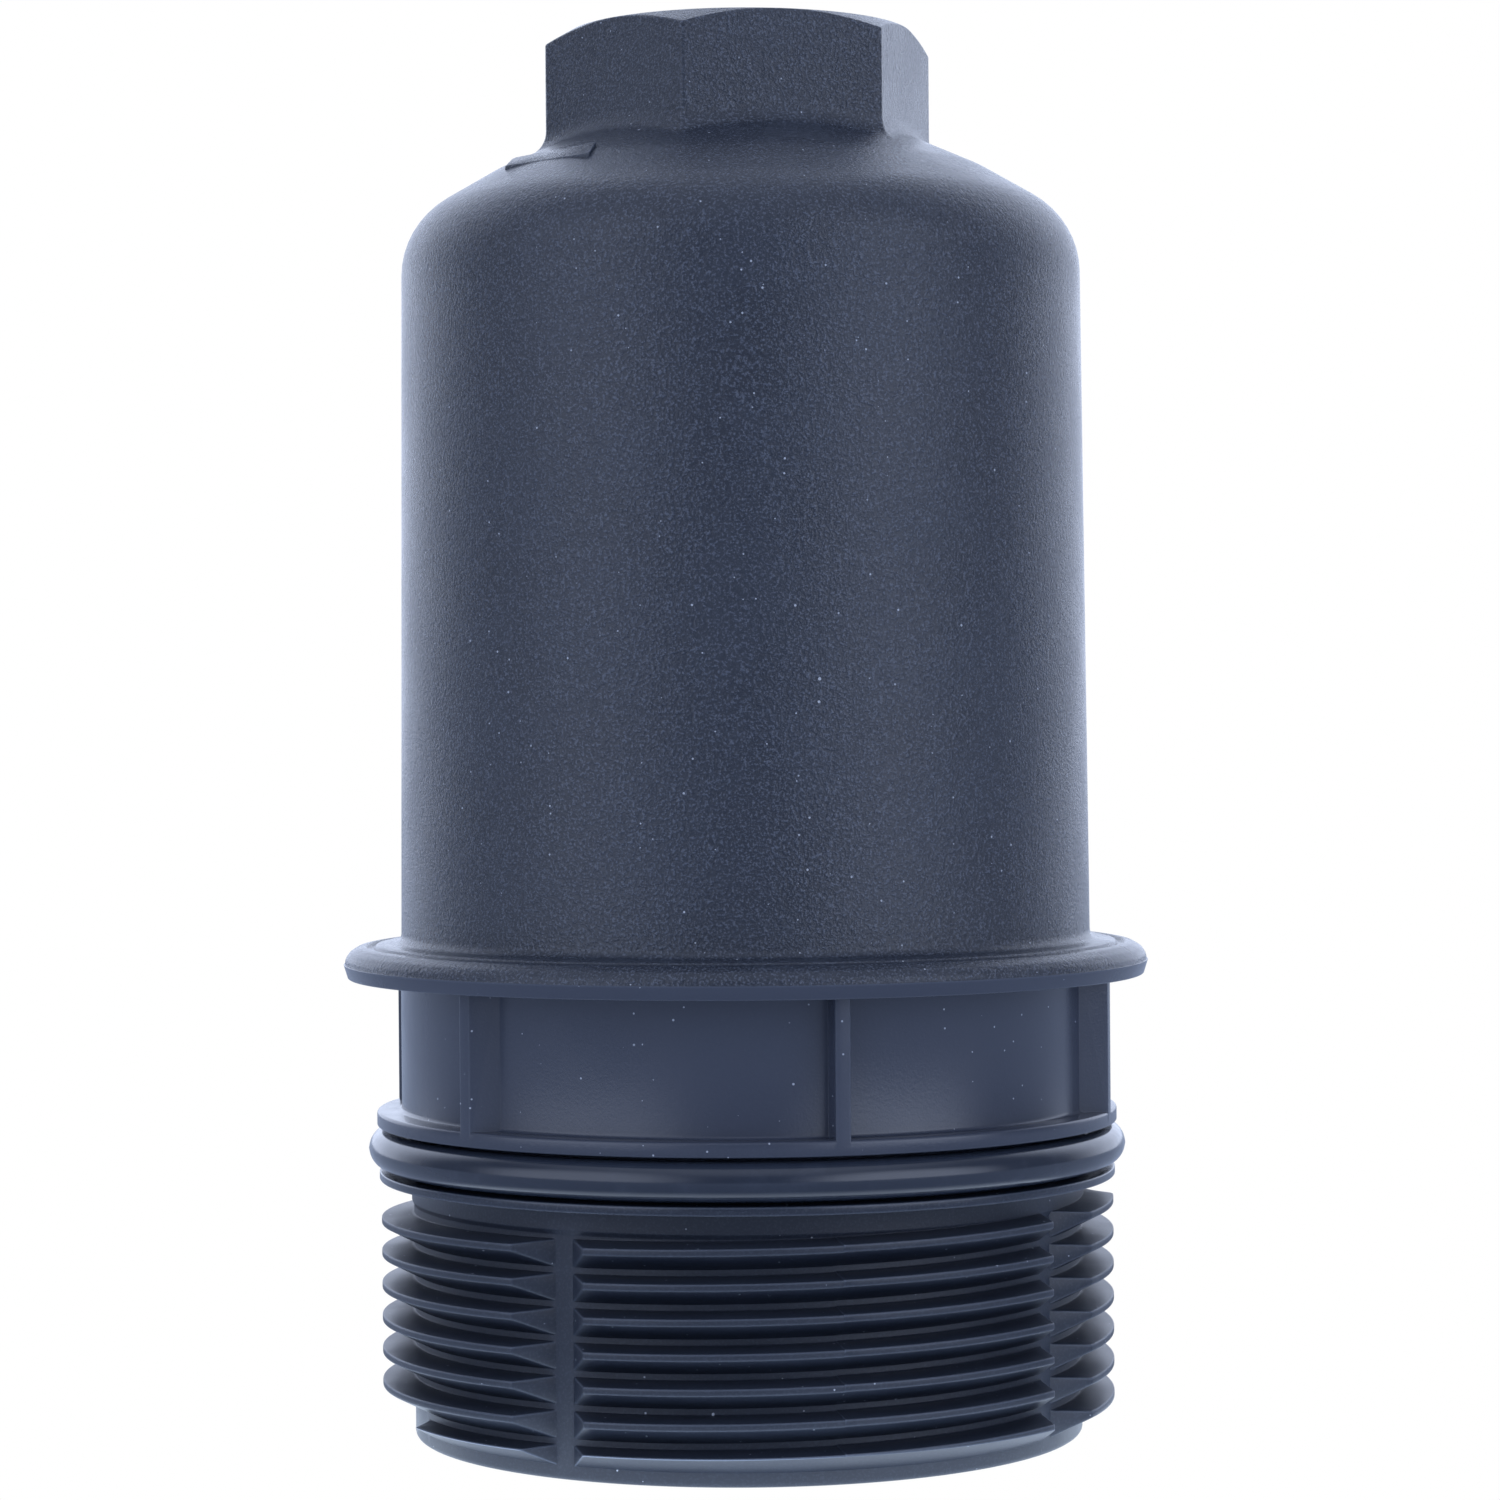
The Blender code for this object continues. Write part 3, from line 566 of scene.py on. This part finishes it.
def thread_fin(middle, turn_index, columns=36):
    """One turn's stretch of thread across one quarter, its two ends square to the mould's
    draw and slightly rounded. The mould parts at the front quarter's middle, where the
    thread has a fine step. The lowest turn grows out of the wall where the thread starts,
    and the highest fades into it where the thread ends."""
    half_sweep = degrees(asin(SEGMENT_HALF_CHORD / THREAD_ROOT))
    starts_here = turn_index == TURNS - 1 and THREAD_START > middle - half_sweep
    ends_here = turn_index == 0 and THREAD_END < middle + half_sweep
    first = (THREAD_START - middle) / half_sweep if starts_here else -1.0
    last = (THREAD_END - middle) / half_sweep if ends_here else 1.0
    edge = 0.16 / SEGMENT_HALF_CHORD    # share of the quarter that an end's rounding takes
    seam, seam_step = 0.003, 0.05
    shares = [first, first + edge * 0.35, first + edge]
    shares += list(np.linspace(first + edge, last - edge, columns + 1)[1:])
    shares += [last - edge * 0.35, last]
    insets = [0.13, 0.04, 0.0] + [0.0] * columns + [0.04, 0.13]
    if middle == CLOCKING:
        shares = sorted(shares + [-seam, seam])
        insets = insets[:3] + [0.0] * (columns + 2) + insets[-2:]
    points = []
    for share, inset in zip(shares, insets):
        step = seam_step if middle == CLOCKING and share > 0.0 else 0.0
        grown = 1.0
        if starts_here:
            grown = min(1.0, (share - first) * half_sweep / THREAD_FADE)
        if ends_here:
            grown = min(1.0, (last - share) * half_sweep / THREAD_FADE)
        for radius, rise in thread_fin_outline(inset):
            radius = min(radius, THREAD_ROOT + (radius - THREAD_ROOT) * grown)
            angle = middle + share * degrees(asin(SEGMENT_HALF_CHORD / radius))
            height = TOP_CREST_HEIGHT + PITCH * (angle / 360.0 - turn_index) + rise + step
            points.append(about_axis(radians(angle), radius + step, 0.0, height))
    rows = len(thread_fin_outline())
    faces = []
    for column in range(len(shares) - 1):
        for row in range(rows):
            after = (row + 1) % rows
            start, following = column * rows, (column + 1) * rows
            faces.append([start + row, following + row, following + after, start + after])
    faces.append(list(range(rows)))
    faces.append([(len(shares) - 1) * rows + row for row in reversed(range(rows))])
    return points, faces


def thread():
    """Four quarters of buttress thread, cut back by the cone that leads the thread in."""
    points, faces = [], []
    for quarter in (-2, -1, 0, 1):
        # The thread starts in the quarter on the left, so the one at the back lacks a turn.
        for turn_index in range(TURNS - 1 if quarter == -2 else TURNS):
            more_points, more_faces = thread_fin(CLOCKING + 90.0 * quarter, turn_index)
            faces += shifted(more_faces, len(points))
            points += more_points
    fins = finished("thread", points, faces)
    envelope = turned("envelope", rounded([
        (0.0, 1.2, 0.0), (30.9, 1.2, 0.0), (34.3, 3.15, 0.0), (34.3, 23.2, 0.0),
        (0.0, 23.2, 0.0)]), FINE)
    combine(fins, envelope, "INTERSECT")
    return fins


def blocks(outline_corners, angles, low, high, steps=4):
    """Upright prisms at several angles, from one outline of (outward, across) corners."""
    outline = rounded(outline_corners, steps)
    points, faces = [], []
    for angle in angles:
        faces += shifted(tube_faces(2, len(outline)), len(points))
        for height in (low, high):
            points += [about_axis(radians(angle), *corner, height) for corner in outline]
    return finished("blocks", points, faces)


def gauge_pad():
    """The small raised mark on the shoulder in front of one hexagon face: a parallelogram
    with rounded edges, level with the cone, whose inner edge is shifted sideways."""
    outer, inner, half_width, shift, lift = 24.0, 21.6, 5.7, -1.7, 0.38
    outline = rounded([(inner, shift - half_width, 0.2), (outer, -half_width, 0.25),
                       (outer, half_width, 0.25), (inner, half_width + shift, 0.2)],
                      steps=3)
    middle = ((inner + outer) / 2.0, shift / 2.0)
    turn = radians(CLOCKING - 60.0)
    points = []
    levels = ((-1.2, 0.0), (lift - 0.12, 0.0), (lift - 0.03, 0.04), (lift, 0.13))
    for level, inset in levels:
        for outward, across in outline:
            away = Vector((outward - middle[0], across - middle[1]))
            outward -= inset * away.x / away.length
            across -= inset * away.y / away.length
            height = cone_height(hypot(outward, across)) + level
            points.append(about_axis(turn, outward, across, height))
    return finished("gauge_pad", points, tube_faces(len(levels), len(outline)))


def flange_ribs():
    """Six ribs under the flange. The mould opens square to its parting line, so the ribs
    away from that line widen on the side that would otherwise catch."""
    root, tip, half_root, half_tip = 31.0, 34.45, 0.74, 0.68
    foot, head = 29.6, 43.0
    widening = (tip - root) * tan(radians(30.0))
    for left, right, places in ((0.0, 0.0, (0.0, 180.0)), (0.0, widening, (-60.0, 120.0)),
                                (widening, 0.0, (60.0, -120.0))):
        yield blocks([(root, -half_root - left, 0.0), (tip, -half_tip, 0.16),
                      (tip, half_tip, 0.16), (root, half_root + right, 0.0)],
                     [CLOCKING + place for place in places], foot, head)


def housing_cap(material):
    """The moulding: one solid from the rim to the hexagon's top."""
    angles = cap_angles()
    cap = swept("cap_moulding", [cap_outline(angle) for angle in angles], angles)
    for ribs in flange_ribs():
        combine(cap, ribs, "UNION")
    combine(cap, gauge_pad(), "UNION")
    combine(cap, thread(), "UNION")
    return dressed(cap, material)


# ---------------------------------------------------------------- O-rings

def o_ring(name, node, material, sides=256, around=40):
    """A moulded ring in the place of a CAD ring, with a fine flash line round its middle."""
    outer, low, high = sizes(node)
    flat = cos(pi / 8)                  # the CAD ring's cord has eight sides
    cord = (high - low) / 2.0 / flat
    middle_height = (high + low) / 2.0
    middle_radius = outer - cord * flat
    flash_height, flash_width = 0.03, 0.09
    section = []
    for index in range(around):
        turn = 2.0 * pi * index / around
        away = min(turn, 2.0 * pi - turn)
        flash = flash_height * exp(-(away / flash_width) ** 2)
        section.append((middle_radius + (cord + flash) * cos(turn),
                        middle_height + (cord + flash) * sin(turn)))
    return turned(name, section, sides, material, sharp=60.0)


# ---------------------------------------------------------------- stem and bypass valve

def ring(inner, outer, low, high, rounding):
    """A ring's section with rounded corners."""
    return rounded([(inner, low, rounding), (outer, low, rounding),
                    (outer, high, rounding), (inner, high, rounding)])


def window_blocks(angles, floors, width, height, inner, outer, rounding=1.2):
    """Cutters for round-cornered windows, pointing out from the axis."""
    outline = rounded([(-width / 2.0, 0.0, rounding), (width / 2.0, 0.0, rounding),
                       (width / 2.0, height, rounding), (-width / 2.0, height, rounding)],
                      steps=5)
    points, faces = [], []
    for angle in angles:
        for floor in floors:
            faces += shifted(tube_faces(2, len(outline)), len(points))
            for outward in (inner, outer):
                points += [about_axis(radians(angle), outward, across, floor + rise)
                           for across, rise in outline]
    return finished("windows", points, faces)


def stem_foot(material):
    """The stem's outlet, with its two O-ring grooves, collar and spigot."""
    outer, low, high = sizes("stem_foot")
    radius, bore, floor, spigot, half_groove = 8.2, 5.8, 7.0, 7.6, 1.3
    corners = [(bore, low, 0.3), (radius - 0.1, low, 0.6), (radius, low + 1.3, 0.2)]
    for node in ("foot_o_ring_lower", "foot_o_ring_upper"):
        middle = sum(sizes(node)[1:]) / 2.0
        corners += [(radius, middle - half_groove, 0.15), (floor, middle - half_groove, 0.2),
                    (floor, middle + half_groove, 0.2), (radius, middle + half_groove, 0.15)]
    corners += [(radius, 11.6, 0.4), (outer, 12.6, 0.3), (outer, 17.0, 0.3),
                (spigot, 17.0, 0.15), (spigot, high, 0.5), (bore, high, 0.3)]
    return turned("outlet_foot", rounded(corners), 128, material)


def core_stem(material):
    """The hollow stem: a windowed tube with four stiffening ribs, and the valve's barrel."""
    outer, low, high = sizes("core_stem")
    tube, bore, barrel_bore, ledge = 9.5, 7.9, 9.6, 80.0
    stem = turned("hollow_stem", rounded([
        (bore, low, 0.2), (tube + 0.6, low, 0.3), (tube + 0.6, low + 1.0, 0.3),
        (tube, low + 1.6, 0.3), (tube, ledge - 3.0, 1.5), (outer, ledge - 1.5, 1.0),
        (outer, high, 0.3), (barrel_bore, high, 0.3), (barrel_bore, ledge, 0.2),
        (bore, ledge, 0.4)]), 160)
    ribs = blocks([(tube - 0.6, -0.9, 0.0), (tube + 0.1, -0.6, 0.2), (tube + 0.75, -0.4, 0.2),
                   (tube + 0.75, 0.4, 0.2), (tube + 0.1, 0.6, 0.2), (tube - 0.6, 0.9, 0.0)],
                  [45.0, 135.0, 225.0, 315.0], low + 1.2, ledge - 2.4)
    combine(stem, ribs, "UNION")
    width, height, first, spacing = 7.0, 14.0, 24.0, 18.0
    floors = [first + spacing * row for row in range(3)]
    windows = window_blocks([90.0 * column for column in range(4)], floors, width, height,
                            5.0, 12.0)
    combine(stem, windows, "DIFFERENCE")
    return dressed(stem, material)


def valve_housing(material):
    """The valve's body: seat, windowed chamber, clip groove and the head that turns in the
    cap's socket, domed a little less than its CAD outline so that it stays inside it."""
    outer, low, high = sizes("valve_housing")
    hole, chamber, land = 6.0, 9.6, 103.9
    groove, groove_low, groove_high = outer - 1.3, 119.55, 120.95
    housing = turned("valve_body", rounded([
        (hole + 2.6, low, 0.1), (outer, low, 0.4), (outer, groove_low, 0.12),
        (groove, groove_low, 0.15), (groove, groove_high, 0.15), (outer, groove_high, 0.12),
        (outer, high - 0.8, 0.6), (outer - 0.9, high, 0.5), (5.0, high, 0.4),
        (4.6, high - 0.5, 0.3), (0.0, high - 0.5, 0.0), (0.0, high - 2.4, 0.0),
        (chamber, high - 2.4, 0.8), (chamber, land + 1.6, 0.5), (hole, land + 1.6, 0.4),
        (hole, land, 0.25), (hole + 2.6, land, 0.05)]), 160)
    windows = window_blocks([3.0 + 90.0 * column for column in range(4)], [107.0], 8.0, 8.0,
                            7.0, 14.0)
    combine(housing, windows, "DIFFERENCE")
    return dressed(housing, material)


def swivel_clip(material):
    """The split ring, of flat wire with rounded edges, its two ends turned in a little."""
    low, high = sizes("swivel_clip")[1:]
    outer, inner, end_pull, pull_sweep = 13.2, 11.1, 0.35, 14.0
    start, sweep, steps = 190.0, 335.0, 150
    outlines, angles = [], []
    for step in range(steps + 1):
        to_end = min(step, steps - step) / steps * sweep
        pull = end_pull * max(0.0, 1.0 - to_end / pull_sweep) ** 2
        outlines.append([(radius - pull, height) for radius, height
                         in ring(inner, outer, low, high, 0.22)])
        angles.append(start + sweep * step / steps)
    return swept("split_ring", outlines, angles, material, closed=False)


def spring_seat(material):
    """A stamped washer with a raised rim that centres the spring."""
    outer, low, high = sizes("spring_seat")
    return turned("seat_washer", rounded([
        (4.2, low, 0.25), (outer, low, 0.3), (outer, high, 0.15), (6.4, high, 0.12),
        (6.4, low + 0.8, 0.08), (4.2, low + 0.8, 0.25)]), 128, material)


def bypass_spring(material):
    """Round wire, its end turns close together."""
    outer, low, high = sizes("bypass_spring")
    wire, turns, sides, per_turn = 0.6, 6, 14, 48
    coil = outer - wire
    low, high = low + wire, high - wire
    points = []
    for step in range(turns * per_turn + 1):
        share = step / (turns * per_turn)
        rise = share - sin(2.0 * pi * share) / (2.0 * pi) * 0.75
        angle = 2.0 * pi * turns * share
        taper = min(1.0, 0.55 + 12.0 * min(share, 1.0 - share))
        for side in range(sides):
            turn = -2.0 * pi * side / sides
            radius = coil + wire * taper * cos(turn)
            height = low + (high - low) * rise + wire * taper * sin(turn)
            points.append(about_axis(angle, radius, 0.0, height))
    faces = tube_faces(turns * per_turn + 1, sides)
    return finished("coil_spring", points, faces, material, sharp=60.0)


def bypass_plunger(material):
    """The valve's disc and its guide pin, turned from bar."""
    outer, low, high = sizes("bypass_plunger")
    return turned("valve_plunger", rounded([
        (0.0, low, 0.0), (2.1, low, 0.3), (2.5, low + 0.6, 0.3), (2.5, 99.4, 0.6),
        (3.3, 100.2, 0.3), (outer - 0.3, 100.2, 0.2), (outer, 100.5, 0.2),
        (outer, high - 0.3, 0.2), (outer - 0.3, high, 0.2), (4.2, high, 0.1),
        (4.0, high - 0.15, 0.1), (0.0, high - 0.15, 0.0)]), 128, material)


def valve_face(material):
    """The rubber ring on the plunger's disc."""
    outer, low, high = sizes("plunger_seal")
    return turned("valve_face", ring(5.0, outer, low, high, 0.25), 128, material)


# ---------------------------------------------------------------- element

PLEATS = 40


def pleat_path():
    """The middle line of the folded paper, in plan: straight legs between round folds."""
    outer, inner, bend, arc_steps, longest = 24.9, 14.5, 0.5, 6, 1.6
    step = pi / PLEATS
    far, near = outer - bend, inner + bend
    leg = Vector((near * cos(step) - far, near * sin(step)))
    lean = asin(2.0 * bend / leg.length)
    normal = leg.normalized() * sin(lean)
    normal += Vector((leg.y, -leg.x)).normalized() * cos(lean)
    reach = atan2(normal.y, normal.x)
    path = []
    for index in range(2 * PLEATS):
        inward = index % 2 == 1
        centre = near if inward else far
        first, last = (pi + reach - step, pi - reach + step) if inward else (-reach, reach)
        turn = step * index
        for angle in np.linspace(first, last, arc_steps + 1):
            path.append(Vector(about_axis(turn, centre + bend * cos(angle),
                                          bend * sin(angle), 0.0)[:2]))
    fine = []
    for here, ahead in zip(path, path[1:] + path[:1]):
        pieces = max(1, round((ahead - here).length / longest))
        fine += [here.lerp(ahead, share / pieces) for share in range(pieces)]
    return fine


def pleat_pack(material):
    """Folded paper of even thickness, whose legs bow and lean a little along their height."""
    low, high = sizes("pleat_pack")[1:]
    half_thickness, rows = 0.26, 36
    path = pleat_path()
    count = len(path)
    normals = []
    for index in range(count):
        along = path[(index + 1) % count] - path[index - 1]
        normals.append(Vector((along.y, -along.x)).normalized())
    points = []
    for side in (1.0, -1.0):
        for row in range(rows + 1):
            height = low + (high - low) * row / rows
            free = sin(pi * row / rows) ** 0.5
            for point, normal in zip(path, normals):
                angle = atan2(point.x, -point.y)
                lean = 0.011 * free * sin(5.0 * angle + 0.055 * height)
                lean += 0.006 * free * sin(17.0 * angle - 0.12 * height)
                moved = point + normal * half_thickness * side
                points.append((moved.x * cos(lean) - moved.y * sin(lean),
                               moved.x * sin(lean) + moved.y * cos(lean), height))
    top = rows * count
    back = top + count
    faces = side_faces(back, 0, count) + side_faces(top, back + top, count)
    for start in range(0, top, count):
        faces += side_faces(start, start + count, count)
        faces += side_faces(back + start + count, back + start, count)
    return finished("pleated_paper", points, faces, material, sharp=50.0)


def end_cap(name, node, material):
    """A moulded end ring: an outer rim round the pleats, a channel for the seal inside, and a
    shallow groove in its face, crossed by twelve bars."""
    outer, low, high = sizes(node)
    upper = node.startswith("upper")
    base, direction = (high, -1.0) if upper else (low, 1.0)
    thick, lip, rim, inner, seal_outer, seal_wall = 4.0, 2.4, outer - 0.7, 12.3, 13.7, 0.8
    corners = [(inner, 0.0, 0.3), (15.0, 0.0, 0.15), (15.4, 0.35, 0.15), (23.6, 0.35, 0.15),
               (24.0, 0.0, 0.15), (outer, 0.0, 0.45), (outer, thick + lip, 0.2),
               (rim, thick + lip, 0.2), (rim, thick, 0.2), (inner, thick, 0.2),
               (inner, thick - seal_wall, 0.15), (seal_outer, thick - seal_wall, 0.15),
               (seal_outer, seal_wall, 0.15), (inner, seal_wall, 0.15)]
    outline = rounded([(radius, base + direction * height, rounding)
                       for radius, height, rounding in corners])
    cap = turned(name, outline[::-1] if upper else outline, 192)
    spokes = [15.0 + 30.0 * spoke for spoke in range(12)]
    face = base + direction * 0.05
    inside = base + direction * 0.9
    bars = blocks([(14.6, -0.5, 0.0), (24.4, -0.5, 0.0), (24.4, 0.5, 0.0), (14.6, 0.5, 0.0)],
                  spokes, min(face, inside), max(face, inside))
    combine(cap, bars, "UNION")
    return dressed(cap, material)


def support_core(material):
    """The perforated tube, with a bead between its rows of windows."""
    outer, low, high = sizes("support_core")
    inner, rows = 12.2, 4
    spacing = (high - low) / rows
    corners = [(inner, low, 0.2), (outer, low, 0.2)]
    for row in range(1, rows):
        middle = low + spacing * row
        corners += [(outer, middle - 0.8, 0.2), (outer + 0.35, middle - 0.4, 0.2),
                    (outer + 0.35, middle + 0.4, 0.2), (outer, middle + 0.8, 0.2)]
    corners += [(outer, high, 0.2), (inner, high, 0.2)]
    core = turned("perforated_core", rounded(corners), 144)
    floors = [low + spacing * row + 2.0 for row in range(rows)]
    windows = window_blocks([7.0 + 60.0 * column for column in range(6)], floors, 8.0,
                            spacing - 4.0, 10.0, 15.0)
    combine(core, windows, "DIFFERENCE")
    return dressed(core, material)


def lip_seal(name, node, material):
    """A rubber ring with two lips on its inner side."""
    outer, low, high = sizes(node)
    inner, middle = 11.5, (low + high) / 2.0
    return turned(name, rounded([
        (inner + 0.25, low, 0.15), (outer, low, 0.2), (outer, high, 0.2),
        (inner + 0.25, high, 0.15), (inner, high - 0.35, 0.15), (inner + 0.45, middle, 0.2),
        (inner, low + 0.35, 0.15)]), 144, material, sharp=60.0)


def seam_clip(material):
    """The tin strip that closes the paper's seam, crimped every few millimetres."""
    low, high = sizes("pleat_seam_clip")[1:]
    outer, inner, middle, half_sweep = 26.0, 25.3, 150.0, 8.0
    rows, columns, crimp_depth, crimp_spacing = 150, 24, 0.20, 5.0
    heights = np.linspace(low, high, rows + 1)
    outlines, angles = [], []
    for column in range(columns + 1):
        share = 2.0 * column / columns - 1.0
        depth = crimp_depth * max(0.0, 1.0 - abs(abs(share) - 0.5) / 0.28)
        waves = np.cos(2.0 * pi * (heights - low) / crimp_spacing)
        dents = depth * np.clip(waves, 0.0, 1.0) ** 2
        thin = 0.08 if column in (0, columns) else 0.0
        outside = [(outer - dent - thin, height) for dent, height in zip(dents, heights)]
        inside = [(inner + thin, height) for height in heights[::-1]]
        outlines.append(outside + inside)
        angles.append(middle + half_sweep * share)
    return swept("crimped_strip", outlines, angles, material, closed=False)


def pleat_thread(name, node, material):
    """A bead of glue laid over the pleats, sinking a little between them."""
    low, high = sizes(node)[1:]
    outer, inner, start, sweep, steps = 26.0, 25.1, 159.0, 342.0, 480
    outlines, angles = [], []
    for step in range(steps + 1):
        angle = start + sweep * step / steps
        to_end = min(step, steps - step) / steps * sweep
        swell = min(1.0, 0.55 + to_end / 3.0)
        sink = 0.07 * (1.0 - cos(radians(angle) * PLEATS))
        wander = 0.10 * sin(radians(7.0 * angle))
        half = (high - low) / 2.0 * (0.80 + 0.08 * sin(radians(23.0 * angle)))
        centre = (low + high) / 2.0 + wander
        outlines.append([(inner + (radius - inner) * swell, height) for radius, height
                         in ring(inner, outer - sink, centre - half * swell,
                                 centre + half * swell, 0.2)])
        angles.append(angle)
    return swept(name, outlines, angles, material, sharp=60.0, closed=False)


# ---------------------------------------------------------------- assembly

def place(piece, body, slot, node):
    """Make a piece ride on its body, in the place of its CAD node."""
    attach(piece, body)
    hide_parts(node)
    return piece


rubber = o_ring_rubber()
place(housing_cap(moulded_plastic()), "cap", "cap_plastic", "housing_cap")
place(o_ring("cap_seal", "cap_o_ring", rubber), "cap", "seal_rubber", "cap_o_ring")

nylon = stem_nylon()
steel = drawn_steel()
place(stem_foot(nylon), "stem", "stem_plastic", "stem_foot")
place(core_stem(nylon), "stem", "stem_plastic", "core_stem")
place(valve_housing(nylon), "stem", "stem_plastic", "valve_housing")
place(swivel_clip(steel), "stem", "spring_steel", "swivel_clip")
place(spring_seat(steel), "stem", "spring_steel", "spring_seat")
for level in ("lower", "upper"):
    node = "foot_o_ring_" + level
    place(o_ring(level + "_foot_seal", node, rubber, 128, 32), "stem", "seal_rubber", node)
spring = place(bypass_spring(steel), "stem", "spring_steel", "bypass_spring")
lift = next(joint for joint in frame["joints"] if joint["name"] == "bypass_lift")
spring_low, spring_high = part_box("bypass_spring")
1.0 - max(lift["range_m"]) / (spring_high.z - spring_low.z)
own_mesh(spring)
place(bypass_plunger(turned_brass()), "plunger", "plunger_brass", "bypass_plunger")
place(valve_face(rubber), "plunger", "seal_rubber", "plunger_seal")

frame_plastic = element_nylon()
glue = hot_melt()
place(pleat_pack(filter_paper()), "element", "filter_paper", "pleat_pack")
place(support_core(frame_plastic), "element", "element_plastic", "support_core")
place(seam_clip(tinned_sheet()), "element", "tinplate", "pleat_seam_clip")
for level in ("lower", "upper"):
    place(end_cap(level + "_end_ring", level + "_end_cap", frame_plastic),
          "element", "element_plastic", level + "_end_cap")
    place(lip_seal(level + "_stem_seal", level + "_seal_ring", rubber),
          "element", "seal_rubber", level + "_seal_ring")
    place(pleat_thread(level + "_glue_bead", level + "_pleat_thread", glue),
          "element", "hot_melt", level + "_pleat_thread")


# ---------------------------------------------------------------- studio

# Patches of light: direction, where each starts and is full (as the cosine of the angle from
# that direction), and strength.
BACKDROP = ((0.0, 1.0, 0.18), 0.30, 0.80, 1.74)
SOFTBOXES = (((-0.80, -0.60, 0.25), 0.76, 0.98, 1.78),
             ((0.76, -0.65, 0.20), 0.80, 0.98, 2.30),
             ((0.0, -0.2, 1.0), 0.60, 0.98, 0.75))
ROOM_LIGHT = 0.195
ROOM_TINT = (0.77, 0.86, 1.08, 1.0)
GLOW_RING = (0.036, 0.054)          # metres from the axis over which the floor's glow fades
GLOW = 1.8
LENS_LENGTH = 100.8
EYE = (0.54, -392.5, 67.9)
LOOK_DOWN = 0.666                   # degrees
ROLL = -0.435


def lobe(n, direction, start, full, strength):
    """A soft patch of light about one direction."""
    dot = n.add("ShaderNodeVectorMath", operation="DOT_PRODUCT")
    n.join(n.place, dot.inputs[0])
    dot.inputs[1].default_value = Vector(direction).normalized()
    return n.ramp(dot.outputs["Value"], start, full, 0.0, strength)


def floor_paint():
    """Pale paint that glows a little round the object's foot."""
    n = new_material("floor_paint")
    away = n.add("ShaderNodeVectorMath", operation="LENGTH")
    n.join(n.place, away.inputs[0])
    paint = n.done((0.50, 0.55, 0.63), 0.9, Emission_Color=(0.72, 0.84, 1.0, 1.0))
    n.join(n.ramp(away.outputs["Value"], *GLOW_RING, GLOW, 0.0),
           n.tree.nodes["Principled BSDF"].inputs["Emission Strength"])
    return paint


def studio():
    """A white backdrop behind, dimmer overhead, and a dim room with two softboxes at the
    camera's sides and a faint one above. The camera sees them all as plain white, and doesn't
    see the pale floor, which lights the object from below."""
    world = bpy.data.worlds.new("studio")
    bpy.context.scene.world = world
    n = Nodes(world, "Generated")
    overhead = n.ramp(n.axes()["Z"], 0.60, 0.98, 1.0, 0.42)
    light = n.times(overhead, lobe(n, *BACKDROP))
    for softbox in SOFTBOXES:
        light = n.plus(light, lobe(n, *softbox))
    light = n.plus(light, ROOM_LIGHT)
    background = n.tree.nodes["Background"]
    background.inputs["Color"].default_value = ROOM_TINT
    n.join(light, background.inputs["Strength"])
    seen = n.add("ShaderNodeBackground")
    seen.inputs["Color"].default_value = (1.0, 1.0, 1.0, 1.0)
    mix = n.add("ShaderNodeMixShader")
    n.join(n.add("ShaderNodeLightPath").outputs["Is Camera Ray"], mix.inputs[0])
    n.join(background.outputs[0], mix.inputs[1])
    n.join(seen.outputs[0], mix.inputs[2])
    n.join(mix.outputs[0], n.tree.nodes["World Output"].inputs["Surface"])

    just_below = -0.2 * MM
    bpy.ops.mesh.primitive_plane_add(size=6.0, location=(0.0, 0.0, just_below))
    floor = bpy.context.object
    floor.name = "floor"
    floor.visible_camera = False
    floor.data.materials.append(floor_paint())
    bpy.context.scene.view_settings.view_transform = "Standard"


def camera():
    """A long lens level with the middle of the cap, looking slightly down."""
    lens = bpy.data.cameras.new("camera")
    lens.lens = LENS_LENGTH
    lens.clip_start = 0.01
    eye = bpy.data.objects.new("camera", lens)
    bpy.context.collection.objects.link(eye)
    pitch, roll = radians(90.0 - LOOK_DOWN), radians(ROLL)
    eye.matrix_world = (Matrix.Translation(Vector(EYE) * MM)
                        @ Matrix.Rotation(pitch, 4, "X") @ Matrix.Rotation(roll, 4, "Z"))
    bpy.context.scene.camera = eye


studio()
camera()
